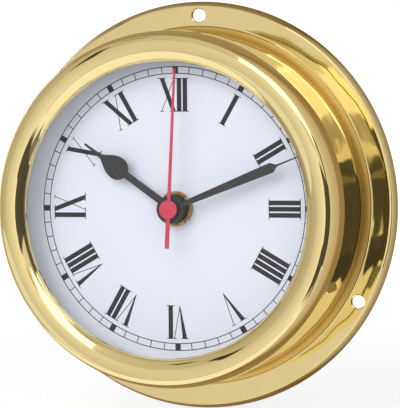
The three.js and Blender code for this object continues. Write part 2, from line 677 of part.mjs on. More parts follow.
function hourWheel() {
  const wheel = wheelAt(HOUR_WHEEL_TEETH, hourSize, hourPhase, hourLayer);
  const top = hourHeight + HAND_SHEET + TUBE_STAND;
  const tube = bar(hourTubeRadius, hourLayer - WHEEL_THICKNESS, top, TUBE_SEGMENTS);
  return cut(join(wheel, tube), bar(hourTubeInside, cannonLayer, top + FIT));
}

function reverserWheel() {
  const wheel = wheelAt(REVERSER_WHEEL_TEETH, cannonSize, reverserPhase, cannonLayer);
  const pinion = pinionAt(REVERSER_PINION_TEETH, hourSize, 0, hourLayer);
  const arbor = bar(SET_ARBOR_RADIUS, boxRear - KNOB_THICKNESS, hourLayer);
  return join(wheel, pinion, arbor, bar(ARBOR_RADIUS, cannonLayer, frontPivot));
}

function setKnob() {
  const front = boxRear - FIT;
  const rear = front - KNOB_THICKNESS;
  const outline = Array.from({ length: KNOB_FLUTES * 2 }, (unused, i) =>
    polar(KNOB_RADIUS - (i % 2) * KNOB_FLUTE_DEPTH, (180 / KNOB_FLUTES) * i));
  const bore = bar(SET_ARBOR_RADIUS + FIT, rear - FIT, front + FIT);
  return cut(prism(new THREE.Shape(outline), rear, front), bore);
}

// Stepping motor

const statorHole = MAGNET_RADIUS + STATOR_AIR_GAP;
const stator = {
  left: rotorAt.x - STATOR_NECK,
  right: boxInsideHalf - STATOR_SIDE_ROOM,
  top: rotorAt.y + statorHole + STATOR_RIM,
  headBottom: rotorAt.y - STATOR_NECK,
  bottom: rotorAt.y - STATOR_REACH,
  rear: deckFront - STATOR_THICKNESS,
};
const coreAt = stator.bottom + STATOR_LEG / 2;
const bobbinLeft = stator.left + STATOR_LEG + FIT;
const bobbinRight = stator.right - STATOR_LEG - FIT;

function statorPlate() {
  const plate = block(stator.left, stator.right, stator.bottom, stator.top, stator.rear, deckFront);
  const coilRoom = block(
    stator.left + STATOR_LEG, stator.right - STATOR_LEG,
    stator.bottom - FIT, stator.headBottom, stator.rear - FIT, deckFront + FIT,
  );
  const rotorHole = bar(statorHole, stator.rear - FIT, deckFront + FIT, TUBE_SEGMENTS);
  return cut(plate, coilRoom, at(rotorHole, rotorAt));
}

const coilCore = () => block(
  stator.left, stator.right,
  coreAt - CORE_WIDTH / 2, coreAt + CORE_WIDTH / 2,
  coreMiddle - CORE_HEIGHT / 2, coreMiddle + CORE_HEIGHT / 2,
);

// A ring profile laid along x, round the coil core
function alongCore(geometry) {
  return geometry.rotateY(Math.PI / 2).translate(0, coreAt, coreMiddle);
}

function coilBobbin() {
  return alongCore(revolve([
    [bobbinInside, bobbinLeft],
    [bobbinFlange, bobbinLeft],
    [bobbinFlange, bobbinLeft + BOBBIN_FLANGE_WIDTH],
    [bobbinTube, bobbinLeft + BOBBIN_FLANGE_WIDTH],
    [bobbinTube, bobbinRight - BOBBIN_FLANGE_WIDTH],
    [bobbinFlange, bobbinRight - BOBBIN_FLANGE_WIDTH],
    [bobbinFlange, bobbinRight],
    [bobbinInside, bobbinRight],
  ], SMALL_SEGMENTS));
}

function coilWinding() {
  const left = bobbinLeft + BOBBIN_FLANGE_WIDTH + FIT;
  const right = bobbinRight - BOBBIN_FLANGE_WIDTH - FIT;
  return alongCore(ring(windingInside, windingOutside, left, right, SMALL_SEGMENTS));
}

// Circuit and battery

const boardLeft = -boxInsideHalf + FIT;
const boardBottom = trainBottom + FIT;

const circuitBoard = () => block(
  boardLeft, boardLeft + BOARD_WIDTH,
  boardBottom, boardBottom + BOARD_LENGTH,
  deckFront - BOARD_THICKNESS, deckFront,
);

function quartzCrystal() {
  const can = new THREE.CylinderGeometry(CRYSTAL_RADIUS, CRYSTAL_RADIUS, CRYSTAL_LENGTH, SMALL_SEGMENTS);
  const along = boardLeft + CRYSTAL_LENGTH / 2 + FIT;
  const above = deckFront + FIT + CRYSTAL_RADIUS;
  return can.rotateZ(Math.PI / 2).translate(along, boardBottom + BOARD_LENGTH / 2, above);
}

const contactOutside = boxInsideHalf - FIT;

function contact(side) {
  const outer = contactOutside * side;
  const inner = (contactOutside - CONTACT_SHEET) * side;
  const ends = [outer, inner].sort((a, b) => a - b);
  const half = CONTACT_WIDTH / 2;
  const leaf = block(...ends, cellHeight - half, cellHeight + half, coverFront, boxInside - FIT);
  const dimple = new THREE.CylinderGeometry(CONTACT_DIMPLE, CONTACT_DIMPLE, CONTACT_SHEET, SMALL_SEGMENTS);
  dimple.rotateZ(Math.PI / 2).translate(inner, cellHeight, cellMiddle);
  return join(leaf, dimple);
}

function batteryCell() {
  const whole = CELL_LENGTH + CELL_NUB;
  const points = [
    [0, 0],
    [CELL_RADIUS - CELL_SHOULDER, 0],
    [CELL_RADIUS, CELL_SHOULDER],
    [CELL_RADIUS, CELL_LENGTH - CELL_SHOULDER],
    [CELL_RADIUS - CELL_SHOULDER, CELL_LENGTH],
    [CELL_NUB_RADIUS, CELL_LENGTH],
    [CELL_NUB_RADIUS, whole],
    [0, whole],
  ].map(([radius, along]) => new THREE.Vector2(radius, along - whole / 2));
  const cell = new THREE.LatheGeometry(points, TUBE_SEGMENTS).rotateZ(-Math.PI / 2);
  return geometryOf(solidOf(cell.translate(0, cellHeight, cellMiddle)));
}

// Assembly

const fixedPieces = new THREE.Group();
fixedPieces.add(
  piece('case_body', caseBody(), BRASS),
  piece('dial_seat_ring', dialSeat(), RAW_BRASS),
  piece('dial_plate', dialPlate(), DIAL_WHITE),
  piece('dial_hold_ring', dialHold(), MOULDED_WHITE),
  piece('movement_housing', movementHousing(), MOULDED_BLACK),
  piece('rear_cover', rearCover(), MOULDED_BLACK),
  piece('train_bridge', trainBridge(), MOULDED_WHITE),
  piece('threaded_bushing', threadedBushing(), RAW_BRASS),
  piece('bushing_nut', bushingNut(), RAW_BRASS),
  piece('rubber_washer', rubberWasher(), RUBBER),
  piece('stator', statorPlate(), STEEL),
  piece('coil_core', coilCore(), STEEL),
  piece('coil_bobbin', coilBobbin(), MOULDED_WHITE),
  piece('coil_winding', coilWinding(), COPPER),
  piece('circuit_board', circuitBoard(), BOARD_GREEN),
  piece('quartz_crystal', quartzCrystal(), STEEL),
  piece('positive_contact', contact(1), STEEL),
  piece('negative_contact', contact(-1), STEEL),
);

const bezel = new THREE.Group();
bezel.add(
  piece('bezel_ring', bezelRing(), BRASS),
  piece('glass', glassDisc(), CLEAR_GLASS),
  piece('glass_gasket', glassGasket(), RUBBER),
  piece('glass_retainer', glassRetainer(), RAW_BRASS),
);

const hands = new THREE.Group();
const hourSheet = sheetHand(spadeOutline(), hourHeight, hourTubeRadius);
const minuteSheet = sheetHand(minuteOutline(), minuteHeight, minuteTubeRadius);
const hourHand = piece('hour_hand', hourSheet, HAND_BLACK);
const minuteHand = piece('minute_hand', minuteSheet, HAND_BLACK);
const sweepHand = piece('second_hand', secondHand(), HAND_RED);
hourHand.rotation.z = -radians(HOUR_ANGLE);
minuteHand.rotation.z = -radians(MINUTE_ANGLE);
sweepHand.rotation.z = -radians(SECOND_ANGLE);
hands.add(hourHand, minuteHand, sweepHand);

const train = new THREE.Group();
train.add(
  piece('rotor_magnet', rotorMagnet(), MAGNET, rotorAt),
  piece('rotor_pinion', rotorPinion(), MOULDED_WHITE, rotorAt),
  piece('intermediate_wheel', intermediateWheel(), MOULDED_WHITE, intermediateAt),
  piece('seconds_wheel', secondsWheel(), MOULDED_WHITE),
  piece('third_wheel', thirdWheel(), MOULDED_WHITE, thirdAt),
  piece('centre_wheel', centreWheel(), MOULDED_WHITE),
  piece('cannon_pinion', cannonPinion(), MOULDED_WHITE),
  piece('reverser_wheel', reverserWheel(), MOULDED_WHITE, reverserAt),
  piece('hour_wheel', hourWheel(), MOULDED_WHITE),
  piece('set_knob', setKnob(), MOULDED_WHITE, reverserAt),
);

const clock = new THREE.Group();
clock.add(fixedPieces, bezel, hands, train, piece('battery', batteryCell(), CELL_GREY));
clock.rotation.x = Math.PI / 2;

export default clock;
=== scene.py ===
"""Looks of a brass ship's clock: its turned, pressed and printed pieces, their finishes and the studio.

Pieces are drawn in millimetres in the face frame: x to the right, y up, z from the bulkhead to the viewer.
The stage and the camera are in metres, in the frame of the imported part: +Z up, the face looks along -Y.
"""
import math
from collections import namedtuple

import bmesh
import bpy
from mathutils import Matrix, Vector


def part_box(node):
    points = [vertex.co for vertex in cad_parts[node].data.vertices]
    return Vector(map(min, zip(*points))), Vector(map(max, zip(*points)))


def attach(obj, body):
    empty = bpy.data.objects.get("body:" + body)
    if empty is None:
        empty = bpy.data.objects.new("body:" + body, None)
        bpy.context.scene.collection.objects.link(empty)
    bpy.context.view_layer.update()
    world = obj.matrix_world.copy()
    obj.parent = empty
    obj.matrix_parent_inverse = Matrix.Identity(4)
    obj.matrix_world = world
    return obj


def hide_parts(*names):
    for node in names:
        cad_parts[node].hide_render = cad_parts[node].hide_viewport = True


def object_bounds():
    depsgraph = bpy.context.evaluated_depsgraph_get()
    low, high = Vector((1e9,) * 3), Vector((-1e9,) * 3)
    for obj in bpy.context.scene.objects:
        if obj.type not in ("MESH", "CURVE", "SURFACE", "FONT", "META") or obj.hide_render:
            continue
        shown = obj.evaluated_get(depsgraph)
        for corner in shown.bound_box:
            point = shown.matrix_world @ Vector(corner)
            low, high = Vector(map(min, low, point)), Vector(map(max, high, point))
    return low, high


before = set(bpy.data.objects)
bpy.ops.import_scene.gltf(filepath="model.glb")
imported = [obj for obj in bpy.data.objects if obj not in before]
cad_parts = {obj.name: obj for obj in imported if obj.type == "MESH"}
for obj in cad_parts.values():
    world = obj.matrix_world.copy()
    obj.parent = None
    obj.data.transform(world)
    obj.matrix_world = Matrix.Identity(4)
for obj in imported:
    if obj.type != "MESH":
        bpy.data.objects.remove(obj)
cad_low, cad_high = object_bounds()

MM = 0.001
FACE_TO_FRAME = Matrix(((MM, 0, 0, 0), (0, 0, -MM, 0), (0, MM, 0, 0), (0, 0, 0, 1)))

Reach = namedtuple("Reach", "left right bottom top rear front")


def reach(node):
    """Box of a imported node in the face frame."""
    low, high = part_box(node)
    return Reach(*(value / MM for value in (low.x, high.x, low.z, high.z, -high.y, -low.y)))


# Clearances and sheet that the part is made with
FIT = 0.3
SHEET = 1.0

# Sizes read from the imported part
case = reach("case_body")
bezel = reach("bezel_ring")
dial = reach("dial_plate")
glass = reach("glass")
hold_ring = reach("dial_hold_ring")
seat_ring = reach("dial_seat_ring")
gasket = reach("glass_gasket")
retainer = reach("glass_retainer")
nut = reach("bushing_nut")
knob = reach("set_knob")
cell = reach("battery")

# Bezel and glass
SKIRT_SHEET = 0.9
SKIRT_HEIGHT = 4.5
SKIRT_BEVEL = 1.4
PUSH_FIT = 0.05
SHOULDER_INSET = 1.4
SHOULDER_DROP = 1.1
SHOULDER_START = 12
CREST_INSET = 4.4
LIP_WIDTH = 5.1
LIP_ROUND = 0.15
GLASS_EDGE = 0.2
GASKET_ROUND = 0.3
RETAINER_EDGE = 0.15
RETAINER_SPLIT = 5.0

# Case
WALL_RADIUS = bezel.right - SKIRT_SHEET - PUSH_FIT
WALL_INSIDE = dial.right + FIT
FLANGE_RADIUS = case.right
FLANGE_HEIGHT = 3.1
RIM_TURN = 2.2
RIM_CREASE_ANGLE = 74
RIM_TOP_ANGLE = 30
RIM_FOOT_ANGLE = 14
RIM_EDGE = 0.06
COVE_RADIUS = 2.45
SCREW_COUNT = 3
SCREW_HOLE_RADIUS = 2.1
SCREW_CIRCLE = 59.2
SCREW_CHAMFER = 0.25

# Dial and its rings
DIAL_EDGE = 0.1
RING_EDGE = 0.2
SEAT_WIDTH = 4.0
HOLD_WIDTH = 1.7
OPENING_RADIUS = hold_ring.right - HOLD_WIDTH

# Dial print
TRACK_INSIDE = 41.65
TRACK_OUTSIDE = 43.75
TRACK_LINE = 0.27
HOUR_BLOCK = 1.75
NUMERALS = ("XII", "I", "II", "III", "IIII", "V", "VI", "VII", "VIII", "IX", "X", "XI")
NUMERAL_INSIDE = 29.85
NUMERAL_OUTSIDE = 40.2
STEM = 1.45
STEM_GAP = 0.45
HAIRLINE = 0.24
SERIF_REACH = 0.6
LETTER_GAP = 0.3
V_WIDTH = 4.3
V_APEX_SHARE = 0.55
V_FOOT = 0.12
V_CUT = 0.1
V_CUT_HEIGHT = 0.6
X_WIDTH = 5.3
X_CENTRING = 1.4
PRINT_THICKNESS = 0.02
TRACK_THICKNESS = 0.026

# Hands
HAND_SHEET = 0.4
HAND_EDGE = 0.07
HAND_HUB_RADIUS = 4.4
COLLET_WALL = 0.7
COLLET_EDGE = 0.1
HOUR_STEM = 2.2
HOUR_BORE = 2.8
SPADE_START = 18.3
SPADE_WIDTH = 7.1
SPADE_TAPER = 8.0
SPADE_HIP = 4.0
SPADE_POINT = 3.0
HOUR_NEEDLE = 0.9
HOUR_TIP = 0.63
MINUTE_BORE = 1.8
MINUTE_ROOT = 1.6
MINUTE_WIDTH = 3.2
MINUTE_BLADE = 35.0
MINUTE_SHOULDER = 2.6
MINUTE_HIP = 0.8
MINUTE_POINT = 1.2
MINUTE_NEEDLE = 0.6
MINUTE_TIP = 0.36
SECOND_BORE = 0.8
SECOND_TAIL = 12.0
SECOND_TAIL_WIDTH = 1.35
SECOND_ROOT = 1.1
SECOND_TIP = 0.65
SECOND_HUB_RADIUS = 2.85
SECOND_HUB_HEIGHT = 0.9
SECOND_HUB_EDGE = 0.2

# Nut, movement, knob and battery
NUT_WALL = 1.1
NUT_BORE = nut.right - NUT_WALL
NUT_EDGE = 0.25
NUT_NOTCHES = 4
NOTCH = 0.6
HOUSING_EDGE = 0.25
CONTACT_EDGE = 0.06
KNOB_BORE = 1.2
KNOB_EDGE = 0.25
KNOB_FLUTES = 20
FLUTE_POINTS = 6
FLUTE_DEPTH = 0.35
CELL_NUB = 1.0
CELL_NUB_RADIUS = 2.7
CELL_NUB_FLARE = 0.3
CELL_NUB_SINK = 0.2
CELL_CAP = 0.9
CELL_BAND = 13.0
CELL_ROUND = 0.7
CELL_CROWN = 0.1
CELL_EDGE = 0.25
CRIMP_WIDTH = 0.4
CRIMP_FOOT = 0.2
CRIMP_DEPTH = 0.35

# Facets, corners and tools
ROUND = 240
FINE = 96
SMALL = 48
ARC = 20
CORNER_STEPS = 4
CORNER_OVER = math.radians(25)
CORNER_SHARE = 0.45
SMOOTH_UNDER = math.radians(32)
FLAT_UNDER = math.radians(1)
SHARP_OVER = math.radians(40)
WELD = 1e-4
PACKED_WELD = 1e-6
OVERCUT = 1.0

# Where the brass is satin and painted darker as shade in the cove, creased, or painted darker as shade at
# the rim
# Width of the cove's satin band, which is also painted darker as shade, and its fade
COVE_SATIN_AND_SHADE = 1.5
COVE_FADE = 1.0
SATIN_AND_SHADE_FADE = 0.3
CREASE = 0.35
CREASE_LAP = 0.05
CREASE_FADE = 0.15
# Painted shade on the rim: how far in from its edge it reaches, and its fade
RIM_SHADE = 1.5
RIM_SHADE_FADE = 1.6
INSIDE_MARGIN = 0.3
INSIDE_FADE = 0.15
MOUTH_FADE = 0.5
SPUN_FADE = 1.0
TURN_STRETCH = 0.004

# Other finishes
DIAL_BACK = 0.3
DIAL_BACK_FADE = 0.15
GLASS_MIRROR = 0.012
WIRE_PITCH = 0.1
STEEL_GRAIN_STRETCH = 0.05
JACKET_FADE = 0.1

# Colours of the finishes, as linear red, green and blue
BRASS_BRIGHT = (0.81, 0.68, 0.34, 1)
BRASS_DEEP = (0.79, 0.655, 0.315, 1)
# Painted shade: the cove's colour, darker and warmer like brass that mirrors itself
BRASS_COVE_SHADE = (0.68, 0.46, 0.13, 1)
BRASS_CREASE = (0.4, 0.26, 0.08, 1)
# Painted shade: colour of the rim's outer band, darker as it lies in shade
BRASS_RIM_SHADE = (0.36, 0.29, 0.15, 1)
BRASS_DULL = (0.52, 0.38, 0.16, 1)
BRASS_TARNISH = (0.36, 0.25, 0.10, 1)
ENAMEL = (0.76, 0.79, 0.89, 1)
ENAMEL_SHADE = (0.72, 0.75, 0.86, 1)
BARE_ALUMINIUM = (0.62, 0.63, 0.65, 1)
INK = (0.012, 0.013, 0.018, 1)
INK_THIN = (0.02, 0.021, 0.027, 1)
LACQUER_BLACK = (0.016, 0.018, 0.022, 1)
LACQUER_BLACK_WORN = (0.028, 0.03, 0.035, 1)
LACQUER_RED = (0.62, 0.032, 0.085, 1)
LACQUER_RED_DEEP = (0.55, 0.026, 0.07, 1)
RUBBER_BLACK = (0.022, 0.022, 0.023, 1)
RUBBER_DUSTY = (0.06, 0.06, 0.06, 1)
PLASTIC_BLACK = (0.03, 0.03, 0.033, 1)
PLASTIC_BLACK_WORN = (0.055, 0.055, 0.06, 1)
PLASTIC_WHITE = (0.80, 0.79, 0.73, 1)
PLASTIC_WHITE_SHADE = (0.72, 0.70, 0.62, 1)
STEEL_BRIGHT = (0.62, 0.63, 0.65, 1)
STEEL_GREY = (0.48, 0.49, 0.51, 1)
MAGNET_GREY = (0.14, 0.14, 0.15, 1)
MAGNET_SPECK = (0.24, 0.24, 0.25, 1)
COPPER = (0.62, 0.24, 0.10, 1)
COPPER_DARK = (0.34, 0.11, 0.045, 1)
MASK_GREEN = (0.03, 0.14, 0.06, 1)
TRACE_GREEN = (0.06, 0.24, 0.10, 1)
JACKET_DARK = (0.05, 0.055, 0.07, 1)
JACKET_BAND = (0.55, 0.36, 0.16, 1)
WHITE = (1, 1, 1, 1)
BLACK = (0, 0, 0, 1)


# Shader nodes

class Wire:
    """A value on its way between shader nodes; arithmetic on it adds Math nodes."""

    def __init__(self, network, socket):
        self.network = network
        self.socket = socket

    def math(self, operation, *others):
        operands = dict(enumerate((self, *others)))
        return self.network.node("ShaderNodeMath", {"operation": operation}, operands)

    def __add__(self, other):
        return self.math("ADD", other)

    def __sub__(self, other):
        return self.math("SUBTRACT", other)

    def __rsub__(self, other):
        return self.network.node("ShaderNodeMath", {"operation": "SUBTRACT"}, {0: other, 1: self})

    def __mul__(self, other):
        return self.math("MULTIPLY", other)

    def __pow__(self, other):
        return self.math("POWER", other)

    __radd__ = __add__
    __rmul__ = __mul__


class Network:
    """The shader nodes of one tree: one method adds any node, and the others name what the clock needs."""

    def __init__(self, tree):
        self.tree = tree

    def node(self, kind, settings, sockets, output=0):
        made = self.tree.nodes.new(kind)
        for name, value in settings.items():
            setattr(made, name, value)
        for name, value in sockets.items():
            self.plug(made.inputs[name], value)
        return Wire(self, made.outputs[output])

    def plug(self, socket, value):
        if isinstance(value, Wire):
            self.tree.links.new(value.socket, socket)
        else:
            socket.default_value = value

    def place(self):
        return self.node("ShaderNodeTexCoord", {}, {}, "Object")

    def split(self, vector):
        return [self.node("ShaderNodeSeparateXYZ", {}, {"Vector": vector}, axis) for axis in "XYZ"]

    def join(self, x, y, z):
        return self.node("ShaderNodeCombineXYZ", {}, {"X": x, "Y": y, "Z": z})

    def noise(self, size, detail, vector=None):
        """Soft noise from 0 to 1 with features of that size in millimetres."""
        sockets = {"Scale": 1 / (size * MM), "Detail": detail, "Vector": vector or self.place()}
        return self.node("ShaderNodeTexNoise", {}, sockets, "Fac")

    def cells(self, size):
        """Distance from the middles of grains of that size in millimetres."""
        sockets = {"Scale": 1 / (size * MM), "Vector": self.place()}
        return self.node("ShaderNodeTexVoronoi", {}, sockets, "Distance")

    def step(self, value, low, high):
        """0 at low, 1 at high, and a smooth change between them; low may be the larger one."""
        sockets = {"Value": value, "From Min": low, "From Max": high}
        return self.node("ShaderNodeMapRange", {"interpolation_type": "SMOOTHSTEP"}, sockets)

    def under(self, length, limit, fade):
        """1 up to a limit in millimetres, and 0 from a fade past it."""
        return self.step(length, (limit + fade) * MM, limit * MM)

    def over(self, length, limit, fade):
        """0 up to a limit in millimetres, and 1 from a fade past it."""
        return self.step(length, limit * MM, (limit + fade) * MM)

    def blend(self, share, first, second):
        return self.node("ShaderNodeMix", {"data_type": "RGBA"}, {0: share, 6: first, 7: second}, 2)

    def bump(self, height, depth):
        """Normal of a relief whose height runs from 0 to 1 over that depth in millimetres."""
        return self.node("ShaderNodeBump", {}, {"Height": height, "Distance": depth * MM, "Strength": 1.0})

    def seen_directly(self):
        """1 on camera, mirror and glass rays, and 0 on the rays that light the clock."""
        kinds = ("Is Camera Ray", "Is Glossy Ray", "Is Transmission Ray")
        camera, mirror, through = (self.node("ShaderNodeLightPath", {}, {}, kind) for kind in kinds)
        return camera.math("MAXIMUM", mirror).math("MAXIMUM", through)


class Finish(Network):
    """A material: the constant sockets of its shader, and what is fed to the others."""

    def __init__(self, name, constants):
        self.material = bpy.data.materials.new(name)
        self.material.use_nodes = True
        super().__init__(self.material.node_tree)
        self.feed(constants)

    def feed(self, sockets):
        shader = self.tree.nodes["Principled BSDF"]
        for name, value in sockets.items():
            self.plug(shader.inputs[name], value)


# Finishes

def round_the_axis(finish):
    """Distance from the hand axis, depth from the bulkhead, and a vector for lines round the axis."""
    x, y, z = finish.split(finish.place())
    distance = (x * x + z * z) ** 0.5
    angle = z.math("ARCTAN2", x)
    return distance, 0 - y, finish.join(distance, y, angle * TURN_STRETCH)


def polished_brass():
    """Mirror brass with a satin cove painted darker as shade, a darker crease at its foot, painted shade on
    the rim and a duller inside.
    """
    finish = Finish("polished_brass", {"Metallic": 1.0})
    distance, depth, round_axis = round_the_axis(finish)
    lines = finish.noise(0.25, 3.0, round_axis)
    smudge = finish.noise(16.0, 4.0)
    behind = finish.under(depth, case.front, MOUTH_FADE)
    inside = behind * finish.under(distance, WALL_INSIDE + INSIDE_MARGIN, INSIDE_FADE)
    low = finish.under(depth, FLANGE_HEIGHT + COVE_RADIUS, COVE_FADE)
    foot = WALL_RADIUS + COVE_SATIN_AND_SHADE
    # The cove is satin, and its colour is painted darker as shade
    corner = low * finish.under(distance, foot, SATIN_AND_SHADE_FADE)
    past_foot = finish.over(distance, foot - CREASE_LAP, CREASE_FADE)
    crease = low * past_foot * finish.under(distance, foot + CREASE, CREASE_FADE)
    # Painted shade: the outer band of the rim is coloured darker, as it lies in shade
    rim_shade = finish.over(distance, FLANGE_RADIUS - RIM_SHADE, RIM_SHADE_FADE)
    spun = finish.under(depth, bezel.rear - SPUN_FADE, SPUN_FADE)
    wave = finish.noise(30.0, 1.0) + 1.4 * spun * finish.noise(8.0, 0.0)
    # Painted shade: the cove takes the darker, warmer brass colour
    brass_with_cove_shade = finish.blend(corner, finish.blend(smudge, BRASS_BRIGHT, BRASS_DEEP), BRASS_COVE_SHADE)
    polish = 0.02 + 0.03 * smudge + 0.03 * lines
    finish.feed({
        "Base Color": finish.blend(rim_shade, finish.blend(crease, brass_with_cove_shade, BRASS_CREASE), BRASS_RIM_SHADE),
        "Roughness": polish + 0.25 * inside + 0.5 * corner,
        "Normal": finish.bump(lines * 0.001 + wave, 0.1),
    })
    return finish.material


def dull_brass():
    finish = Finish("dull_brass", {"Metallic": 1.0})
    lines = finish.noise(0.12, 3.0, round_the_axis(finish)[-1])
    stain = finish.noise(3.0, 4.0)
    finish.feed({
        "Base Color": finish.blend(finish.step(stain, 0.4, 0.7), BRASS_DULL, BRASS_TARNISH),
        "Roughness": 0.3 + 0.2 * lines + 0.1 * stain,
        "Normal": finish.bump(lines, 0.006),
    })
    return finish.material


def dial_enamel():
    """White enamel on the face, bare metal behind it."""
    finish = Finish("dial_enamel", {"Specular IOR Level": 0.35})
    y = finish.split(finish.place())[1]
    back = finish.under(0 - y, dial.front - DIAL_BACK, DIAL_BACK_FADE)
    cloud = finish.noise(22.0, 3.0)
    grain = finish.noise(0.35, 3.0)
    finish.feed({
        "Base Color": finish.blend(back, finish.blend(cloud, ENAMEL, ENAMEL_SHADE), BARE_ALUMINIUM),
        "Metallic": back * 0.9,
        "Roughness": 0.42 + 0.08 * grain,
        "Normal": finish.bump(grain, 0.002),
    })
    return finish.material


def dial_ink():
    finish = Finish("dial_ink", {"Specular IOR Level": 0.3})
    thin = finish.noise(1.2, 2.0)
    finish.feed({
        "Base Color": finish.blend(thin, INK, INK_THIN),
        "Roughness": 0.5 + 0.15 * thin,
    })
    return finish.material


def lacquer(name, colour, other):
    finish = Finish(name, {"Specular IOR Level": 0.4})
    drift = finish.noise(4.0, 3.0)
    peel = finish.noise(0.22, 2.0)
    finish.feed({
        "Base Color": finish.blend(drift, colour, other),
        "Roughness": 0.38 + 0.1 * drift,
        "Normal": finish.bump(peel, 0.004),
    })
    return finish.material


def clear_glass():
    """A thin clear pane: it mirrors as much as glass does at each angle, and lets the rest through."""
    finish = Finish("clear_glass", {"Base Color": WHITE, "Metallic": 1.0, "Roughness": 0.0})
    slant = finish.node("ShaderNodeLayerWeight", {}, {"Blend": 0.5}, "Facing")
    finish.feed({"Alpha": GLASS_MIRROR + (1 - GLASS_MIRROR) * slant ** 5})
    return finish.material


def black_rubber():
    finish = Finish("black_rubber", {"Specular IOR Level": 0.25})
    dust = finish.noise(2.0, 5.0)
    grain = finish.noise(0.15, 3.0)
    finish.feed({
        "Base Color": finish.blend(finish.step(dust, 0.5, 0.8), RUBBER_BLACK, RUBBER_DUSTY),
        "Roughness": 0.75 + 0.15 * dust,
        "Normal": finish.bump(grain, 0.02),
    })
    return finish.material


def moulded_plastic(name, colour, other, gloss, grain_depth):
    finish = Finish(name, {"Specular IOR Level": 0.45})
    flow = finish.noise(9.0, 3.0)
    grain = finish.cells(0.28)
    finish.feed({
        "Base Color": finish.blend(finish.step(flow, 0.35, 0.75), colour, other),
        "Roughness": gloss + 0.12 * flow,
        "Normal": finish.bump(grain, grain_depth),
    })
    return finish.material


def bright_steel():
    finish = Finish("bright_steel", {"Metallic": 1.0})
    x, y, z = finish.split(finish.place())
    lines = finish.noise(0.12, 4.0, finish.join(x * STEEL_GRAIN_STRETCH, y, z))
    finish.feed({
        "Base Color": finish.blend(lines, STEEL_BRIGHT, STEEL_GREY),
        "Roughness": 0.22 + 0.2 * lines,
        "Normal": finish.bump(lines, 0.004),
    })
    return finish.material


def sintered_magnet():
    finish = Finish("sintered_magnet", {"Metallic": 0.8})
    grit = finish.cells(0.12)
    finish.feed({
        "Base Color": finish.blend(grit, MAGNET_GREY, MAGNET_SPECK),
        "Roughness": 0.5 + 0.2 * grit,
        "Normal": finish.bump(grit, 0.02),
    })
    return finish.material


def copper_winding():
    finish = Finish("copper_winding", {"Metallic": 0.9, "Coat Weight": 0.4})
    x = finish.split(finish.place())[0]
    wires = (x * (2 * math.pi / (WIRE_PITCH * MM))).math("SINE") * 0.5 + 0.5
    finish.feed({
        "Base Color": finish.blend(wires, COPPER_DARK, COPPER),
        "Roughness": 0.4 - 0.12 * wires,
        "Normal": finish.bump(wires, 0.04),
    })
    return finish.material


def board_mask():
    finish = Finish("board_mask", {"Specular IOR Level": 0.5})
    between_traces = finish.step(finish.cells(2.2), 0.35, 0.4)
    weave = finish.noise(0.3, 2.0)
    finish.feed({
        "Base Color": finish.blend(between_traces, TRACE_GREEN, MASK_GREEN),
        "Roughness": 0.35 + 0.1 * weave,
        "Normal": finish.bump(1 - between_traces, 0.03),
    })
    return finish.material


def cell_jacket():
    """A dark film with a copper-coloured band at the nub's end, and bare caps."""
    finish = Finish("cell_jacket", {"Specular IOR Level": 0.5})
    x = finish.split(finish.place())[0]
    head = cell.right - CELL_NUB
    band = finish.over(x, head - CELL_BAND - JACKET_FADE, 2 * JACKET_FADE)
    head_cap = finish.over(x, head - CELL_CAP, JACKET_FADE)
    tail_cap = finish.under(x, cell.left + CELL_CAP - JACKET_FADE, JACKET_FADE)
    bare = head_cap + tail_cap
    film = finish.noise(6.0, 3.0)
    finish.feed({
        "Base Color": finish.blend(bare, finish.blend(band, JACKET_DARK, JACKET_BAND), STEEL_BRIGHT),
        "Metallic": bare * 0.4 + band * 0.6,
        "Roughness": 0.24 + 0.1 * film,
        "Normal": finish.bump(film, 0.01),
    })
    return finish.material


POLISHED_BRASS = polished_brass()
DULL_BRASS = dull_brass()
DIAL_ENAMEL = dial_enamel()
DIAL_INK = dial_ink()
HAND_BLACK = lacquer("hand_black", LACQUER_BLACK, LACQUER_BLACK_WORN)
HAND_RED = lacquer("hand_red", LACQUER_RED, LACQUER_RED_DEEP)
CLEAR_GLASS = clear_glass()
BLACK_RUBBER = black_rubber()
BLACK_PLASTIC = moulded_plastic("black_plastic", PLASTIC_BLACK, PLASTIC_BLACK_WORN, 0.45, 0.03)
WHITE_PLASTIC = moulded_plastic("white_plastic", PLASTIC_WHITE, PLASTIC_WHITE_SHADE, 0.32, 0.008)
BRIGHT_STEEL = bright_steel()
SINTERED_MAGNET = sintered_magnet()
COPPER_WINDING = copper_winding()
BOARD_MASK = board_mask()
CELL_JACKET = cell_jacket()


# Meshes

def weld(mesh):
    """Joins doubled points and turns the faces outwards."""
    bm = bmesh.new()
    bm.from_mesh(mesh)
    bmesh.ops.remove_doubles(bm, verts=bm.verts, dist=WELD)
    bmesh.ops.recalc_face_normals(bm, faces=bm.faces)
    bm.to_mesh(mesh)
    bm.free()
    return mesh


def piece(name, mesh, finish, body, *nodes):
    """A finished piece of the clock from a mesh in the face frame; it stands for the nodes it is given."""
    weld(mesh).transform(FACE_TO_FRAME)
    mesh.polygons.foreach_set("use_smooth", [True] * len(mesh.polygons))
    mesh.set_sharp_from_angle(angle=SMOOTH_UNDER)
    mesh.materials.clear()
    mesh.materials.append(finish)
    made = bpy.data.objects.new(name, mesh)
    bpy.context.scene.collection.objects.link(made)
    flat_faces = made.modifiers.new("flat_faces", "WEIGHTED_NORMAL")
    flat_faces.keep_sharp = True
    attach(made, body)
    if nodes:
        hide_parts(*nodes)


def mesh_of(name, corners, faces):
    mesh = bpy.data.meshes.new(name)
    mesh.from_pydata(corners, [], faces)
    return mesh


def moved(mesh, *offset):
    mesh.transform(Matrix.Translation(offset))
    return mesh


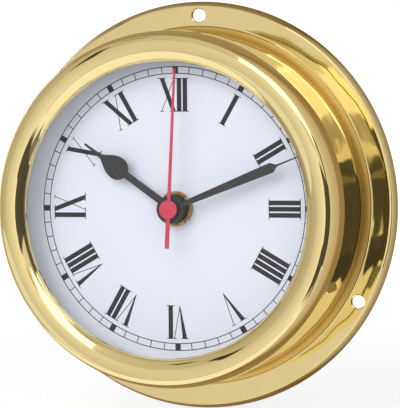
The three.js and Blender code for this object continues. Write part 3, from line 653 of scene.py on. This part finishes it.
def arc(middle, across, along, start, end, steps=ARC):
    """Points of an ellipse between two angles in degrees."""
    angles = [math.radians(start + (end - start) * i / steps) for i in range(steps + 1)]
    return [(middle[0] + across * math.cos(a), middle[1] + along * math.sin(a)) for a in angles]


def circle(radius, segments=FINE):
    return arc((0, 0), radius, radius, 0, 360, segments)[:-1]


def rectangle(left, right, bottom, top):
    return [(left, bottom), (right, bottom), (right, top), (left, top)]


def bend(start, corner, end, steps):
    """Points of a smooth turn between two points, along the lines from them to the corner."""
    shares = [step / steps for step in range(steps + 1)]
    return [start * (1 - u) ** 2 + corner * (2 * u * (1 - u)) + end * u ** 2 for u in shares]


def softened(profile, rounding):
    """A closed outline with its sharp corners rounded."""
    points = [Vector(point) for point in profile]
    soft = []
    for i, corner in enumerate(points):
        before = points[i - 1] - corner
        after = points[(i + 1) % len(points)] - corner
        if math.pi - before.angle(after) < CORNER_OVER:
            soft.append(corner)
            continue
        start = corner + before.normalized() * min(rounding, before.length * CORNER_SHARE)
        end = corner + after.normalized() * min(rounding, after.length * CORNER_SHARE)
        soft += bend(start, corner, end, CORNER_STEPS)
    return [tuple(point) for point in soft]


def lathed(name, profile, segments=ROUND):
    """A mesh turned on the hand axis from a closed outline of (radius, height) points."""
    count = len(profile)
    corners = []
    for i in range(segments):
        angle = 2 * math.pi * i / segments
        corners += [(r * math.cos(angle), r * math.sin(angle), z) for r, z in profile]
    faces = []
    for i in range(segments):
        here = i * count
        there = (i + 1) % segments * count
        for k in range(count):
            after = (k + 1) % count
            faces.append((here + k, there + k, there + after, here + after))
    return mesh_of(name, corners, faces)


def lathed_ring(name, inside, box, rounding, segments=ROUND):
    """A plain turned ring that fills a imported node's box, with its edges rounded."""
    return lathed(name, softened(rectangle(inside, box.right, box.rear, box.front), rounding), segments)


def prism(outline, rear, front):
    count = len(outline)
    corners = [(x, y, rear) for x, y in outline] + [(x, y, front) for x, y in outline]
    sides = [(k, (k + 1) % count, count + (k + 1) % count, count + k) for k in range(count)]
    return mesh_of("prism", corners, [tuple(range(count))[::-1], tuple(range(count, 2 * count)), *sides])


def sheet(name, outlines, rear, front, edge):
    """A flat piece cut from sheet, with broken edges; outlines after the first are holes."""
    curve = bpy.data.curves.new(name, "CURVE")
    curve.dimensions = "2D"
    curve.fill_mode = "BOTH"
    curve.extrude = (front - rear) / 2 - edge
    curve.bevel_depth = edge
    curve.bevel_resolution = 1
    curve.offset = -edge
    for outline in outlines:
        spline = curve.splines.new("POLY")
        spline.points.add(len(outline) - 1)
        for point, (x, y) in zip(spline.points, outline):
            point.co = (x, y, 0, 1)
        spline.use_cyclic_u = True
    holder = bpy.data.objects.new(name, curve)
    bpy.context.scene.collection.objects.link(holder)
    evaluated = holder.evaluated_get(bpy.context.evaluated_depsgraph_get())
    mesh = bpy.data.meshes.new_from_object(evaluated)
    bpy.data.objects.remove(holder)
    bpy.data.curves.remove(curve)
    return moved(mesh, 0, 0, (rear + front) / 2)


def cut(mesh, cutters):
    """The mesh with each cutter's volume taken away."""
    body = bpy.data.objects.new("body", mesh)
    tools = [bpy.data.objects.new("tool", cutter) for cutter in cutters]
    for made in (body, *tools):
        bpy.context.scene.collection.objects.link(made)
    for tool in tools:
        modifier = body.modifiers.new("cut", "BOOLEAN")
        modifier.operation = "DIFFERENCE"
        modifier.object = tool
        modifier.solver = "EXACT"
    result = bpy.data.meshes.new_from_object(body.evaluated_get(bpy.context.evaluated_depsgraph_get()))
    for made in (body, *tools):
        bpy.data.objects.remove(made)
    return result


def merged(name, meshes):
    """One mesh from several that stay separate shells."""
    bm = bmesh.new()
    for mesh in meshes:
        bm.from_mesh(mesh)
    joined = bpy.data.meshes.new(name)
    bm.to_mesh(joined)
    bm.free()
    return joined


# Case, bezel and glass

def case_mesh():
    """Flange with a turned-down rim, cove and wall, drilled for its screws."""
    crease, top, foot = map(math.radians, (RIM_CREASE_ANGLE, RIM_TOP_ANGLE, RIM_FOOT_ANGLE))
    drop = FLANGE_HEIGHT - RIM_TURN * (1 - math.sin(crease))
    sweep = drop / (math.sin(top) - math.sin(foot))
    rim = (FLANGE_RADIUS - sweep * math.cos(foot), -sweep * math.sin(foot))
    turn = (rim[0] + sweep * math.cos(top) - RIM_TURN * math.cos(crease), FLANGE_HEIGHT - RIM_TURN)
    cove = (WALL_RADIUS + COVE_RADIUS, FLANGE_HEIGHT + COVE_RADIUS)
    thickness = WALL_RADIUS - WALL_INSIDE
    shell = lathed("case", softened([
        (FLANGE_RADIUS - SHEET, 0),
        *arc(rim, sweep, sweep, RIM_FOOT_ANGLE, RIM_TOP_ANGLE),
        *arc(turn, RIM_TURN, RIM_TURN, RIM_CREASE_ANGLE, 90)[1:],
        *arc(cove, COVE_RADIUS, COVE_RADIUS, 270, 180),
        (WALL_RADIUS, case.front),
        (WALL_INSIDE, case.front),
        *arc(cove, COVE_RADIUS + thickness, COVE_RADIUS + SHEET, 180, 270),
        (rim[0] + (sweep - SHEET) * math.cos(top), FLANGE_HEIGHT - SHEET),
    ], RIM_EDGE))
    centres = arc((0, 0), SCREW_CIRCLE, SCREW_CIRCLE, 90, 450, SCREW_COUNT)[:-1]
    return cut(shell, [moved(screw_drill(), x, y, 0) for x, y in centres])


def screw_drill():
    """What a screw hole and its chamfer take out of the flange."""
    above = FLANGE_HEIGHT + SCREW_CHAMFER
    return weld(lathed("drill", [
        (0, -OVERCUT),
        (SCREW_HOLE_RADIUS, -OVERCUT),
        (SCREW_HOLE_RADIUS, FLANGE_HEIGHT - SCREW_CHAMFER),
        (SCREW_HOLE_RADIUS + 2 * SCREW_CHAMFER, above),
        (0, above),
    ], SMALL))


def bezel_mesh():
    """Rolled bezel: a straight skirt, a shoulder, a round crown and a lip over the glass."""
    skirt = WALL_RADIUS + PUSH_FIT
    crest = bezel.right - CREST_INSET
    crown = CREST_INSET - SHOULDER_INSET
    shoulder_height = bezel.front - SHOULDER_DROP
    start = math.radians(SHOULDER_START)
    shoulder = Vector((crest + crown * math.cos(start), shoulder_height + SHOULDER_DROP * math.sin(start)))
    steepness = SHOULDER_DROP / (crown * math.tan(start))
    skirt_front = Vector((bezel.right, bezel.rear + SKIRT_HEIGHT))
    turn = Vector((bezel.right, shoulder.y - (bezel.right - shoulder.x) * steepness))
    lip_height = glass.front + FIT
    lip_depth = bezel.front - lip_height
    return lathed("bezel", softened([
        (skirt, bezel.rear),
        (bezel.right, bezel.rear + SKIRT_BEVEL),
        *bend(skirt_front, turn, shoulder, ARC)[:-1],
        *arc((crest, shoulder_height), crown, SHOULDER_DROP, SHOULDER_START, 90, 2 * ARC),
        *arc((crest, lip_height), LIP_WIDTH, lip_depth, 90, 180, 2 * ARC)[1:],
        *arc((crest, lip_height), LIP_WIDTH - SHEET, lip_depth - SHEET, 180, 90),
        (crest + crown - SHEET, shoulder_height - SHEET / 2),
        (skirt, turn.y - SHEET),
    ], LIP_ROUND), 2 * ROUND)


def retainer_mesh():
    """Ring that springs into the bezel, split at the bottom."""
    ring = lathed_ring("retainer", OPENING_RADIUS, retainer, RETAINER_EDGE)
    half = RETAINER_SPLIT / 2
    gap = rectangle(-half, half, -retainer.right - OVERCUT, OVERCUT - OPENING_RADIUS)
    return cut(ring, [prism(gap, retainer.rear - OVERCUT, retainer.front + OVERCUT)])


pane_mesh = lathed_ring("pane", 0, glass, GLASS_EDGE)
gasket_mesh = lathed_ring("gasket", OPENING_RADIUS, gasket, GASKET_ROUND)
piece("case", case_mesh(), POLISHED_BRASS, "case", "case_body")
piece("bezel", bezel_mesh(), POLISHED_BRASS, "bezel", "bezel_ring")
piece("glass_pane", pane_mesh, CLEAR_GLASS, "bezel", "glass")
piece("gasket", gasket_mesh, BLACK_RUBBER, "bezel", "glass_gasket")
piece("retainer", retainer_mesh(), DULL_BRASS, "bezel", "glass_retainer")


# Dial

def rotated(outline, clockwise):
    """An outline drawn at twelve o'clock, turned clockwise by an angle in degrees."""
    c = math.cos(math.radians(clockwise))
    s = math.sin(math.radians(clockwise))
    return [(x * c + y * s, y * c - x * s) for x, y in outline]


def serif(left, right, end):
    """A hairline across a stroke's end, inside the numeral's height."""
    low = end if end == NUMERAL_INSIDE else end - HAIRLINE
    return rectangle(left - SERIF_REACH, right + SERIF_REACH, low, low + HAIRLINE)


def letter_i(left, count):
    """Strokes of one to four I's that share their serifs."""
    pitch = STEM + STEM_GAP
    right = left + count * pitch - STEM_GAP
    starts = [left + i * pitch for i in range(count)]
    stems = [rectangle(start, start + STEM, NUMERAL_INSIDE, NUMERAL_OUTSIDE) for start in starts]
    return right, [*stems, serif(left, right, NUMERAL_OUTSIDE), serif(left, right, NUMERAL_INSIDE)]


def letter_v(left):
    """Strokes of a V: a thick left arm and a hairline."""
    right = left + V_WIDTH
    apex = left + V_WIDTH * V_APEX_SHARE
    thick = [
        (left, NUMERAL_OUTSIDE),
        (left + STEM, NUMERAL_OUTSIDE),
        (apex + V_CUT, NUMERAL_INSIDE + V_CUT_HEIGHT),
        (apex, NUMERAL_INSIDE),
        (apex - V_FOOT, NUMERAL_INSIDE),
    ]
    thin = [
        (right - HAIRLINE, NUMERAL_OUTSIDE),
        (right, NUMERAL_OUTSIDE),
        (apex, NUMERAL_INSIDE),
        (apex - HAIRLINE, NUMERAL_INSIDE),
    ]
    serifs = [serif(left, left + STEM, NUMERAL_OUTSIDE), serif(right - HAIRLINE, right, NUMERAL_OUTSIDE)]
    return right, [thick, thin, *serifs]


def letter_x(left):
    """Strokes of an X: a thick arm and a hairline across it."""
    right = left + X_WIDTH
    thin_top = right - STEM / 2
    thin_foot = left + STEM / 2
    thick = [
        (left, NUMERAL_OUTSIDE),
        (left + STEM, NUMERAL_OUTSIDE),
        (right, NUMERAL_INSIDE),
        (right - STEM, NUMERAL_INSIDE),
    ]
    thin = [
        (thin_top, NUMERAL_OUTSIDE),
        (thin_top + HAIRLINE, NUMERAL_OUTSIDE),
        (thin_foot, NUMERAL_INSIDE),
        (thin_foot - HAIRLINE, NUMERAL_INSIDE),
    ]
    serifs = [
        serif(left, left + STEM, NUMERAL_OUTSIDE),
        serif(right - STEM, right, NUMERAL_INSIDE),
        serif(thin_top, thin_top, NUMERAL_OUTSIDE),
        serif(thin_foot, thin_foot, NUMERAL_INSIDE),
    ]
    return right, [thick, thin, *serifs]


def numeral(text):
    """Strokes of a Roman numeral, in the middle of twelve o'clock."""
    strokes = []
    right = -LETTER_GAP
    for letter in text.replace("IIII", "4").replace("III", "3").replace("II", "2").replace("I", "1"):
        left = right + LETTER_GAP
        if letter in "1234":
            right, made = letter_i(left, int(letter))
        else:
            right, made = {"V": letter_v, "X": letter_x}[letter](left)
        strokes += made
    middle = right / 2
    if len(text) > 1 and "X" in text:
        middle += X_CENTRING / 2 * (1 if text.startswith("X") else -1)
    return [[(x - middle, y) for x, y in stroke] for stroke in strokes]


def ink(outlines):
    """Thin print on the face of the dial."""
    return [prism(outline, dial.front, dial.front + PRINT_THICKNESS) for outline in outlines]


def minute_track_mesh():
    """A mark for each minute, a block for each hour, and the two rings round the dial."""
    marks = []
    for minute in range(60):
        half = HOUR_BLOCK / 2 if minute % 5 == 0 else TRACK_LINE / 2
        marks.append(rotated(rectangle(-half, half, TRACK_INSIDE, TRACK_OUTSIDE), 6 * minute))
    half = TRACK_LINE / 2
    top = dial.front + TRACK_THICKNESS
    rings = []
    for radius in (TRACK_INSIDE, TRACK_OUTSIDE):
        rings.append(lathed("line", rectangle(radius - half, radius + half, dial.front, top)))
    return merged("minute_track", [*ink(marks), *rings])


def hour_numerals_mesh():
    """Roman numerals of the hours, with their feet to the middle."""
    strokes = []
    for hour, text in enumerate(NUMERALS):
        strokes += [rotated(stroke, 30 * hour) for stroke in numeral(text)]
    return merged("hour_numerals", ink(strokes))


dial_mesh = lathed_ring("dial", NUT_BORE, dial, DIAL_EDGE)
seat_mesh = lathed_ring("seat", dial.right - SEAT_WIDTH, seat_ring, RING_EDGE)
hold_mesh = lathed_ring("hold", OPENING_RADIUS, hold_ring, RING_EDGE)
piece("dial", dial_mesh, DIAL_ENAMEL, "case", "dial_plate")
piece("minute_track", minute_track_mesh(), DIAL_INK, "case")
piece("hour_numerals", hour_numerals_mesh(), DIAL_INK, "case")
piece("dial_seat", seat_mesh, DULL_BRASS, "case", "dial_seat_ring")
piece("dial_hold", hold_mesh, WHITE_PLASTIC, "case", "dial_hold_ring")


# Hands

def tip_of(node):
    """How far a hand's tip is from the hand axis, and its angle clockwise from twelve."""
    corners = [vertex.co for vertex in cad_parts[node].data.vertices]
    tip = max(corners, key=lambda corner: corner.x ** 2 + corner.z ** 2)
    return math.hypot(tip.x, tip.z) / MM, math.degrees(math.atan2(tip.x, tip.z))


def on_hub(side, radius):
    """A hand's outline: its right side from root to tip, mirrored, closed round the hub."""
    root = side[0][0]
    lift = math.sqrt(radius ** 2 - root ** 2)
    right = [(root, lift), *side[1:]]
    left = [(-x, y) for x, y in reversed(right)]
    start = math.degrees(math.atan2(lift, -root))
    end = 360 + math.degrees(math.atan2(lift, root))
    return [*right, *left, *arc((0, 0), radius, radius, start, end, SMALL)[1:-1]]


def curve_points(start, first, second, end):
    """Points of a curve after its start, drawn towards two more points on its way to the end."""
    points = []
    for i in range(1, ARC + 1):
        u = i / ARC
        shares = ((1 - u) ** 3, 3 * u * (1 - u) ** 2, 3 * u ** 2 * (1 - u), u ** 3)
        pulls = list(zip(shares, (start, first, second, end)))
        points.append(tuple(sum(share * point[axis] for share, point in pulls) for axis in (0, 1)))
    return points


def spade_side(length):
    """Right side of the hour hand: stem, round belly, taper and needle."""
    stem = HOUR_STEM / 2
    belly = SPADE_WIDTH / 2
    needle = HOUR_NEEDLE / 2
    wide = SPADE_START + math.sqrt(belly ** 2 - stem ** 2)
    end = wide + SPADE_TAPER
    base = math.degrees(math.asin((SPADE_START - wide) / belly))
    return [
        (stem, 0),
        *arc((0, wide), belly, belly, base, 0),
        *curve_points((belly, wide), (belly, wide + SPADE_HIP), (needle, end - SPADE_POINT), (needle, end)),
        (HOUR_TIP / 2, length),
    ]


def baton_side(length):
    """Right side of the minute hand: widening blade, shoulder and needle."""
    blade = MINUTE_WIDTH / 2
    needle = MINUTE_NEEDLE / 2
    hip = MINUTE_BLADE + MINUTE_HIP
    end = MINUTE_BLADE + MINUTE_SHOULDER
    return [
        (MINUTE_ROOT / 2, 0),
        (blade, MINUTE_BLADE),
        *curve_points((blade, MINUTE_BLADE), (blade, hip), (needle, end - MINUTE_POINT), (needle, end)),
        (MINUTE_TIP / 2, length),
    ]


def collet_mesh(bore, rear, front):
    """The short tube that holds a hand on its arbor."""
    return lathed("collet", softened(rectangle(bore, bore + COLLET_WALL, rear, front), COLLET_EDGE), SMALL)


def sheet_hand_mesh(name, node, side_of, bore):
    """A hand pressed from sheet on a collet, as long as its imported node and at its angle."""
    length, angle = tip_of(node)
    box = reach(node)
    outline = rotated(on_hub(side_of(length), HAND_HUB_RADIUS), angle)
    blade = sheet(name, [outline, circle(bore)], box.front - HAND_SHEET, box.front, HAND_EDGE)
    return merged(name, [blade, collet_mesh(bore, box.rear, box.front - HAND_SHEET)])


def sweep_hand_mesh():
    """A long arm with a tail, a round cap over the middle, and its collet."""
    length, angle = tip_of("second_hand")
    box = reach("second_hand")
    low = box.front - SECOND_HUB_HEIGHT
    root = SECOND_ROOT / 2
    tail = SECOND_TAIL_WIDTH / 2
    lift = math.sqrt(SECOND_HUB_RADIUS ** 2 - root ** 2)
    drop = math.sqrt(SECOND_HUB_RADIUS ** 2 - tail ** 2)
    start, end = (math.degrees(math.atan2(y, x)) for x, y in ((-root, lift), (-tail, -drop)))
    left_arc = arc((0, 0), SECOND_HUB_RADIUS, SECOND_HUB_RADIUS, start, end + 360, SMALL)
    half = [(-SECOND_TIP / 2, length), *left_arc, (-tail, -SECOND_TAIL)]
    outline = rotated([*half, *((-x, y) for x, y in reversed(half))], angle)
    arm = sheet("arm", [outline], low, low + HAND_SHEET, HAND_EDGE)
    cap = softened(rectangle(0, SECOND_HUB_RADIUS, low + HAND_SHEET, box.front), SECOND_HUB_EDGE)
    return merged("sweep_hand", [arm, lathed("cap", cap, FINE), collet_mesh(SECOND_BORE, box.rear, low)])


spade_mesh = sheet_hand_mesh("spade_hand", "hour_hand", spade_side, HOUR_BORE)
baton_mesh = sheet_hand_mesh("baton_hand", "minute_hand", baton_side, MINUTE_BORE)
piece("spade_hand", spade_mesh, HAND_BLACK, "hour", "hour_hand")
piece("baton_hand", baton_mesh, HAND_BLACK, "minute", "minute_hand")
piece("sweep_hand", sweep_hand_mesh(), HAND_RED, "seconds", "second_hand")


# Nut in the middle of the dial

def nut_mesh():
    """A round nut with notches for a pin wrench."""
    notches = []
    for i in range(NUT_NOTCHES):
        outline = rectangle(nut.right - NOTCH, nut.right + OVERCUT, -NOTCH, NOTCH)
        notch = prism(outline, nut.rear - OVERCUT, nut.front + OVERCUT)
        notch.transform(Matrix.Rotation(2 * math.pi * (i + 0.5) / NUT_NOTCHES, 4, "Z"))
        notches.append(notch)
    return cut(lathed_ring("nut", NUT_BORE, nut, NUT_EDGE, FINE), notches)


piece("dial_nut", nut_mesh(), DULL_BRASS, "case", "bushing_nut")


# Movement, seen from behind

def refined(node, finish, body, edge):
    """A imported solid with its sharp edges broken."""
    bm = bmesh.new()
    bm.from_mesh(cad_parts[node].data)
    bmesh.ops.remove_doubles(bm, verts=bm.verts, dist=PACKED_WELD)
    bmesh.ops.dissolve_limit(bm, angle_limit=FLAT_UNDER, verts=bm.verts, edges=bm.edges)
    sharp = [e for e in bm.edges if len(e.link_faces) == 2 and e.calc_face_angle() > SHARP_OVER]
    bmesh.ops.bevel(
        bm, geom=sharp, offset=edge * MM, segments=2, profile=0.5, affect="EDGES", clamp_overlap=True,
    )
    mesh = bpy.data.meshes.new(node)
    bm.to_mesh(mesh)
    bm.free()
    mesh.transform(FACE_TO_FRAME.inverted())
    piece(f"{node}_dressed", mesh, finish, body, node)


def knob_mesh():
    """The setting knob with flutes round its edge."""
    outside = (knob.right - knob.left) / 2
    points = KNOB_FLUTES * FLUTE_POINTS
    outline = []
    for i in range(points):
        turn = 2 * math.pi * i / points
        radius = outside - FLUTE_DEPTH * (1 - math.cos(KNOB_FLUTES * turn)) / 2
        outline.append((radius * math.cos(turn), radius * math.sin(turn)))
    body = sheet("knob", [outline, circle(KNOB_BORE, SMALL)], knob.rear, knob.front, KNOB_EDGE)
    return moved(body, 0, (knob.bottom + knob.top) / 2, 0)


def cell_mesh():
    """A round cell with crimped ends and a nub."""
    radius = (cell.front - cell.rear) / 2
    tail = cell.left
    head = cell.right - CELL_NUB
    end = radius - CELL_ROUND
    crimp = end - CRIMP_WIDTH
    profile = softened([
        (0, tail),
        (crimp - CRIMP_FOOT, tail),
        (crimp, tail + CRIMP_DEPTH),
        (end, tail + CELL_CROWN),
        (radius, tail + CELL_ROUND),
        (radius, head - CELL_ROUND),
        (end, head - CELL_CROWN),
        (crimp, head - CRIMP_DEPTH),
        (CELL_NUB_RADIUS + CELL_NUB_FLARE, head - CELL_NUB_SINK),
        (CELL_NUB_RADIUS, cell.right),
        (0, cell.right),
    ], CELL_EDGE)
    body = weld(lathed("cell", profile, FINE))
    body.transform(Matrix.Rotation(math.pi / 2, 4, "Y"))
    return moved(body, 0, (cell.bottom + cell.top) / 2, (cell.rear + cell.front) / 2)


refined("movement_housing", BLACK_PLASTIC, "case", HOUSING_EDGE)
refined("rear_cover", BLACK_PLASTIC, "case", HOUSING_EDGE)
piece("knob", knob_mesh(), WHITE_PLASTIC, "setting", "set_knob")
piece("cell", cell_mesh(), CELL_JACKET, "cell", "battery")
for contact in ("positive_contact", "negative_contact"):
    refined(contact, BRIGHT_STEEL, "case", CONTACT_EDGE)

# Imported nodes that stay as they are, by finish
KEPT_NODES = {
    DULL_BRASS: ["threaded_bushing"],
    BLACK_RUBBER: ["rubber_washer"],
    WHITE_PLASTIC: [
        "train_bridge", "coil_bobbin", "rotor_pinion", "intermediate_wheel", "seconds_wheel", "third_wheel",
        "centre_wheel", "cannon_pinion", "reverser_wheel", "hour_wheel",
    ],
    BRIGHT_STEEL: ["stator", "coil_core", "quartz_crystal"],
    COPPER_WINDING: ["coil_winding"],
    BOARD_MASK: ["circuit_board"],
    SINTERED_MAGNET: ["rotor_magnet"],
}
for finish, nodes in KEPT_NODES.items():
    for node in nodes:
        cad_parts[node].material_slots[0].material = finish


# Studio, in degrees and metres: azimuth from the face to the right, elevation up

# Camera: it stands off from a point on the hand axis near the dial, and aims a little beside that point
CAMERA_AZIMUTH = 19.554
CAMERA_ELEVATION = 2.612
CAMERA_ROLL = -0.588
CAMERA_DISTANCE = 1.536
CAMERA_LENS = 440.55
DIAL_SEEN_AT = Vector((0, -0.0259, 0))
AIM_RIGHT = 0.0074
AIM_UP = 0.00145

# Light
AMBIENT = 0.45
LAMP_DISTANCE = 1.5
LAMP_SIZE = 0.9

# Floor, which turns white between its near and its far distance
FLOOR_SIZE = 30.0
FLOOR_GAP = 0.0001
FLOOR_TONE = (0.38, 0.38, 0.38, 1)
FLOOR_GLOW = (0.35, 0.35, 0.35, 1)
FLOOR_WHITE = (0.76, 0.76, 0.76, 1)
FLOOR_NEAR = 0.25
FLOOR_FAR = 0.9

# How the cloths hang, and how much warmth holds back their green and blue
CLOTH_NEAREST = 1.9
CLOTH_STEP = 0.04
CLOTH_COLUMNS = 16
CLOTH_ROWS = 8
WARM_GREEN = 0.27
WARM_BLUE = 0.6

# Cloths of the light tent, nearest first; tones and warmths run from the first azimuth to the second
Cloth = namedtuple("Cloth", "name azimuths elevations tones warmths lean", defaults=((0, 0), 0))
CLOTHS = (
    Cloth("dim_band", (10, 17.5), (10.7, 16.5), (0.7, 0.5), (0.2, 0.2)),
    Cloth("lit_corner", (13.5, 19), (7.2, 11.4), (1.1, 1.1), (0.15, 0.15)),
    Cloth("lit_band", (-1, 12), (16, 21), (1.6, 1.6), (0.15, 0.15)),
    Cloth("dark_glint", (14.5, 22), (2.5, 4.5), (0.4, 0.2), (0.6, 0.6), lean=0.4),
    Cloth("dark_room", (15.5, 105), (-26, 9), (0.1, 0.07), lean=-0.1),
    Cloth("dark_low", (38, 80), (-40, -24), (0.25, 0.25), lean=-0.6),
    Cloth("dark_side", (58, 100), (9, 30), (0.12, 0.07)),
    Cloth("dark_corner", (10, 18), (-21, -9), (0.07, 0.07)),
    Cloth("tent_slit", (-36, -31.5), (13, 30), (0.06, 0.06), (1.0, 1.0), lean=-0.45),
    Cloth("tent_gap", (-48, -34), (44, 51), (0.12, 0.12), (1.2, 1.2)),
    Cloth("table_edge", (-70, 12), (-27.2, -25.8), (0.3, 0.3)),
    Cloth("lit_edge", (12, 58), (9, 19), (1.0, 0.85), (0.3, 0.3), lean=0.3),
    Cloth("front_cloth", (-30, 15.5), (-26, 20), (0.78, 1.2), (0.15, 0.15)),
    Cloth("lamp_cloth", (-2, 46), (9, 51), (2.4, 2.4), lean=0.55),
    Cloth("lamp_strip", (61, 80), (30, 62), (1.8, 1.8)),
    Cloth("right_cloth", (20, 105), (9, 70), (0.4, 0.9)),
    Cloth("left_cloth", (-82, 0), (-6, 46), (0.5, 0.8), (0.25, 0.25)),
    Cloth("left_skirt", (-92, -60), (-32, -6), (0.45, 0.55), (0.3, 0.3)),
    Cloth("upper_cloth", (-100, 60), (46, 70), (0.6, 0.85), (0.2, 0.2)),
    Cloth("far_left_cloth", (-140, -90), (-30, 22), (1.4, 1.4)),
    Cloth("far_left_top", (-190, -82), (22, 70), (0.42, 0.45), (1.0, 0.6)),
    Cloth("back_cloth", (105, 152), (-70, 70), (0.85, 0.62), (0.3, 0.7)),
    Cloth("back_corner", (152, 175), (-70, 70), (0.45, 0.28), (1.0, 1.4)),
    Cloth("wall_cloth", (175, 222), (-75, 22), (0.35, 0.42), (1.1, 1.1)),
    Cloth("top_cloth", (-190, 170), (70, 90), (0.6, 0.6), (0.1, 0.1)),
    Cloth("table_cloth", (-105, 105), (-90, -26), (1.2, 1.2)),
    Cloth("back_table", (105, 255), (-90, -20), (0.4, 0.4), (0.8, 0.8)),
)


def towards(azimuth, elevation):
    """Unit vector from the clock to a place in the studio."""
    turn = math.radians(azimuth)
    rise = math.radians(elevation)
    return Vector((math.sin(turn) * math.cos(rise), -math.cos(turn) * math.cos(rise), math.sin(rise)))


def add_camera():
    back = towards(CAMERA_AZIMUTH, CAMERA_ELEVATION)
    level = Vector((0, 0, 1)).cross(back).normalized()
    upright = back.cross(level)
    roll = math.radians(CAMERA_ROLL)
    right = level * math.cos(roll) + upright * math.sin(roll)
    up = upright * math.cos(roll) - level * math.sin(roll)
    eye = DIAL_SEEN_AT + back * CAMERA_DISTANCE
    aim = DIAL_SEEN_AT + right * AIM_RIGHT + up * AIM_UP
    back = (eye - aim).normalized()
    right = up.cross(back).normalized()
    camera = bpy.data.objects.new("camera", bpy.data.cameras.new("camera"))
    camera.data.lens = CAMERA_LENS
    facing = Matrix((right, back.cross(right), back)).transposed().to_4x4()
    camera.matrix_world = Matrix.Translation(eye) @ facing
    bpy.context.scene.collection.objects.link(camera)
    bpy.context.scene.camera = camera


def add_world():
    """Even light on the clock, and a white ground behind it."""
    world = bpy.data.worlds.new("studio")
    bpy.context.scene.world = world
    world.use_nodes = True
    studio = Network(world.node_tree)
    studio.tree.nodes.remove(studio.tree.nodes["Background"])
    light = studio.node("ShaderNodeBackground", {}, {"Color": WHITE, "Strength": AMBIENT})
    ground = studio.node("ShaderNodeBackground", {}, {"Color": WHITE, "Strength": 1.0})
    shown = studio.node("ShaderNodeMixShader", {}, {0: studio.seen_directly(), 1: light, 2: ground})
    studio.plug(studio.tree.nodes["World Output"].inputs["Surface"], shown)


def add_lamp(name, azimuth, elevation, power):
    """A square softbox for the light alone; the cloths are what the brass mirrors."""
    lamp = bpy.data.lights.new(name, "AREA")
    lamp.shape = "SQUARE"
    lamp.size = LAMP_SIZE
    lamp.energy = power
    made = bpy.data.objects.new(name, lamp)
    way = towards(azimuth, elevation)
    facing = (-way).to_track_quat("-Z", "Y").to_matrix().to_4x4()
    made.matrix_world = Matrix.Translation(way * LAMP_DISTANCE) @ facing
    made.visible_glossy = False
    bpy.context.scene.collection.objects.link(made)


def glowing(name):
    """A finish that shines by itself and mirrors nothing; its glow is fed in by the caller."""
    return Finish(name, {"Base Color": BLACK, "Specular IOR Level": 0.0, "Emission Strength": 1.0})


def studio_object(name, mesh, finish, *unseen_by):
    """A thing of the studio that some kinds of rays pass by."""
    mesh.materials.append(finish.material)
    made = bpy.data.objects.new(name, mesh)
    for rays in unseen_by:
        setattr(made, f"visible_{rays}", False)
    bpy.context.scene.collection.objects.link(made)
    return made


def add_floor():
    """A pale floor that keeps the clock's shadow and turns white farther off."""
    finish = glowing("pale_floor")
    x, y = finish.split(finish.place())[:2]
    far = finish.step((x * x + y * y) ** 0.5, FLOOR_NEAR, FLOOR_FAR)
    glow = finish.blend(finish.seen_directly(), FLOOR_GLOW, finish.blend(far, FLOOR_WHITE, WHITE))
    finish.feed({"Base Color": FLOOR_TONE, "Roughness": 1.0, "Emission Color": glow})
    height = cad_low.z - FLOOR_GAP
    corners = [(x, y, height) for x, y in rectangle(-FLOOR_SIZE, FLOOR_SIZE, -FLOOR_SIZE, FLOOR_SIZE)]
    floor = studio_object("floor", mesh_of("floor", corners, [(0, 1, 2, 3)]), finish, "glossy")


def tint(tone, warmth):
    """A grey tone, made warmer."""
    return (tone, tone * (1 - WARM_GREEN * warmth), tone * (1 - WARM_BLUE * warmth), 1)


def cloth_mesh(plan, distance):
    """A patch of a ball round the clock; its lean moves it sideways with height, in degrees per degree."""
    left, right = plan.azimuths
    low, high = plan.elevations
    corners = []
    shares = []
    for i in range(CLOTH_COLUMNS + 1):
        for j in range(CLOTH_ROWS + 1):
            elevation = low + (high - low) * j / CLOTH_ROWS
            slant = plan.lean * (elevation - (low + high) / 2)
            azimuth = left + (right - left) * i / CLOTH_COLUMNS + slant
            corners.append(towards(azimuth, elevation) * distance)
            shares.append(i / CLOTH_COLUMNS)
    faces = []
    for i in range(CLOTH_COLUMNS):
        for j in range(CLOTH_ROWS):
            first = i * (CLOTH_ROWS + 1) + j
            faces.append((first, first + CLOTH_ROWS + 1, first + CLOTH_ROWS + 2, first + 1))
    mesh = mesh_of(plan.name, corners, faces)
    mesh.attributes.new("share", "FLOAT", "POINT").data.foreach_set("value", shares)
    return mesh


def add_cloth(plan, distance):
    """A cloth that shows only where a surface mirrors it."""
    finish = glowing(plan.name)
    share = finish.node("ShaderNodeAttribute", {"attribute_name": "share"}, {}, "Fac")
    finish.feed({"Emission Color": finish.blend(share, *map(tint, plan.tones, plan.warmths))})
    mesh = cloth_mesh(plan, distance)
    cloth = studio_object(plan.name, mesh, finish, "camera", "diffuse", "shadow")


add_camera()
add_world()
add_floor()
add_lamp("key", -15, 22, 11.5)
add_lamp("fill", 25, 8, 5.5)
for order, plan in enumerate(CLOTHS):
    add_cloth(plan, CLOTH_NEAREST + CLOTH_STEP * order)

bpy.context.scene.view_settings.view_transform = "Standard"
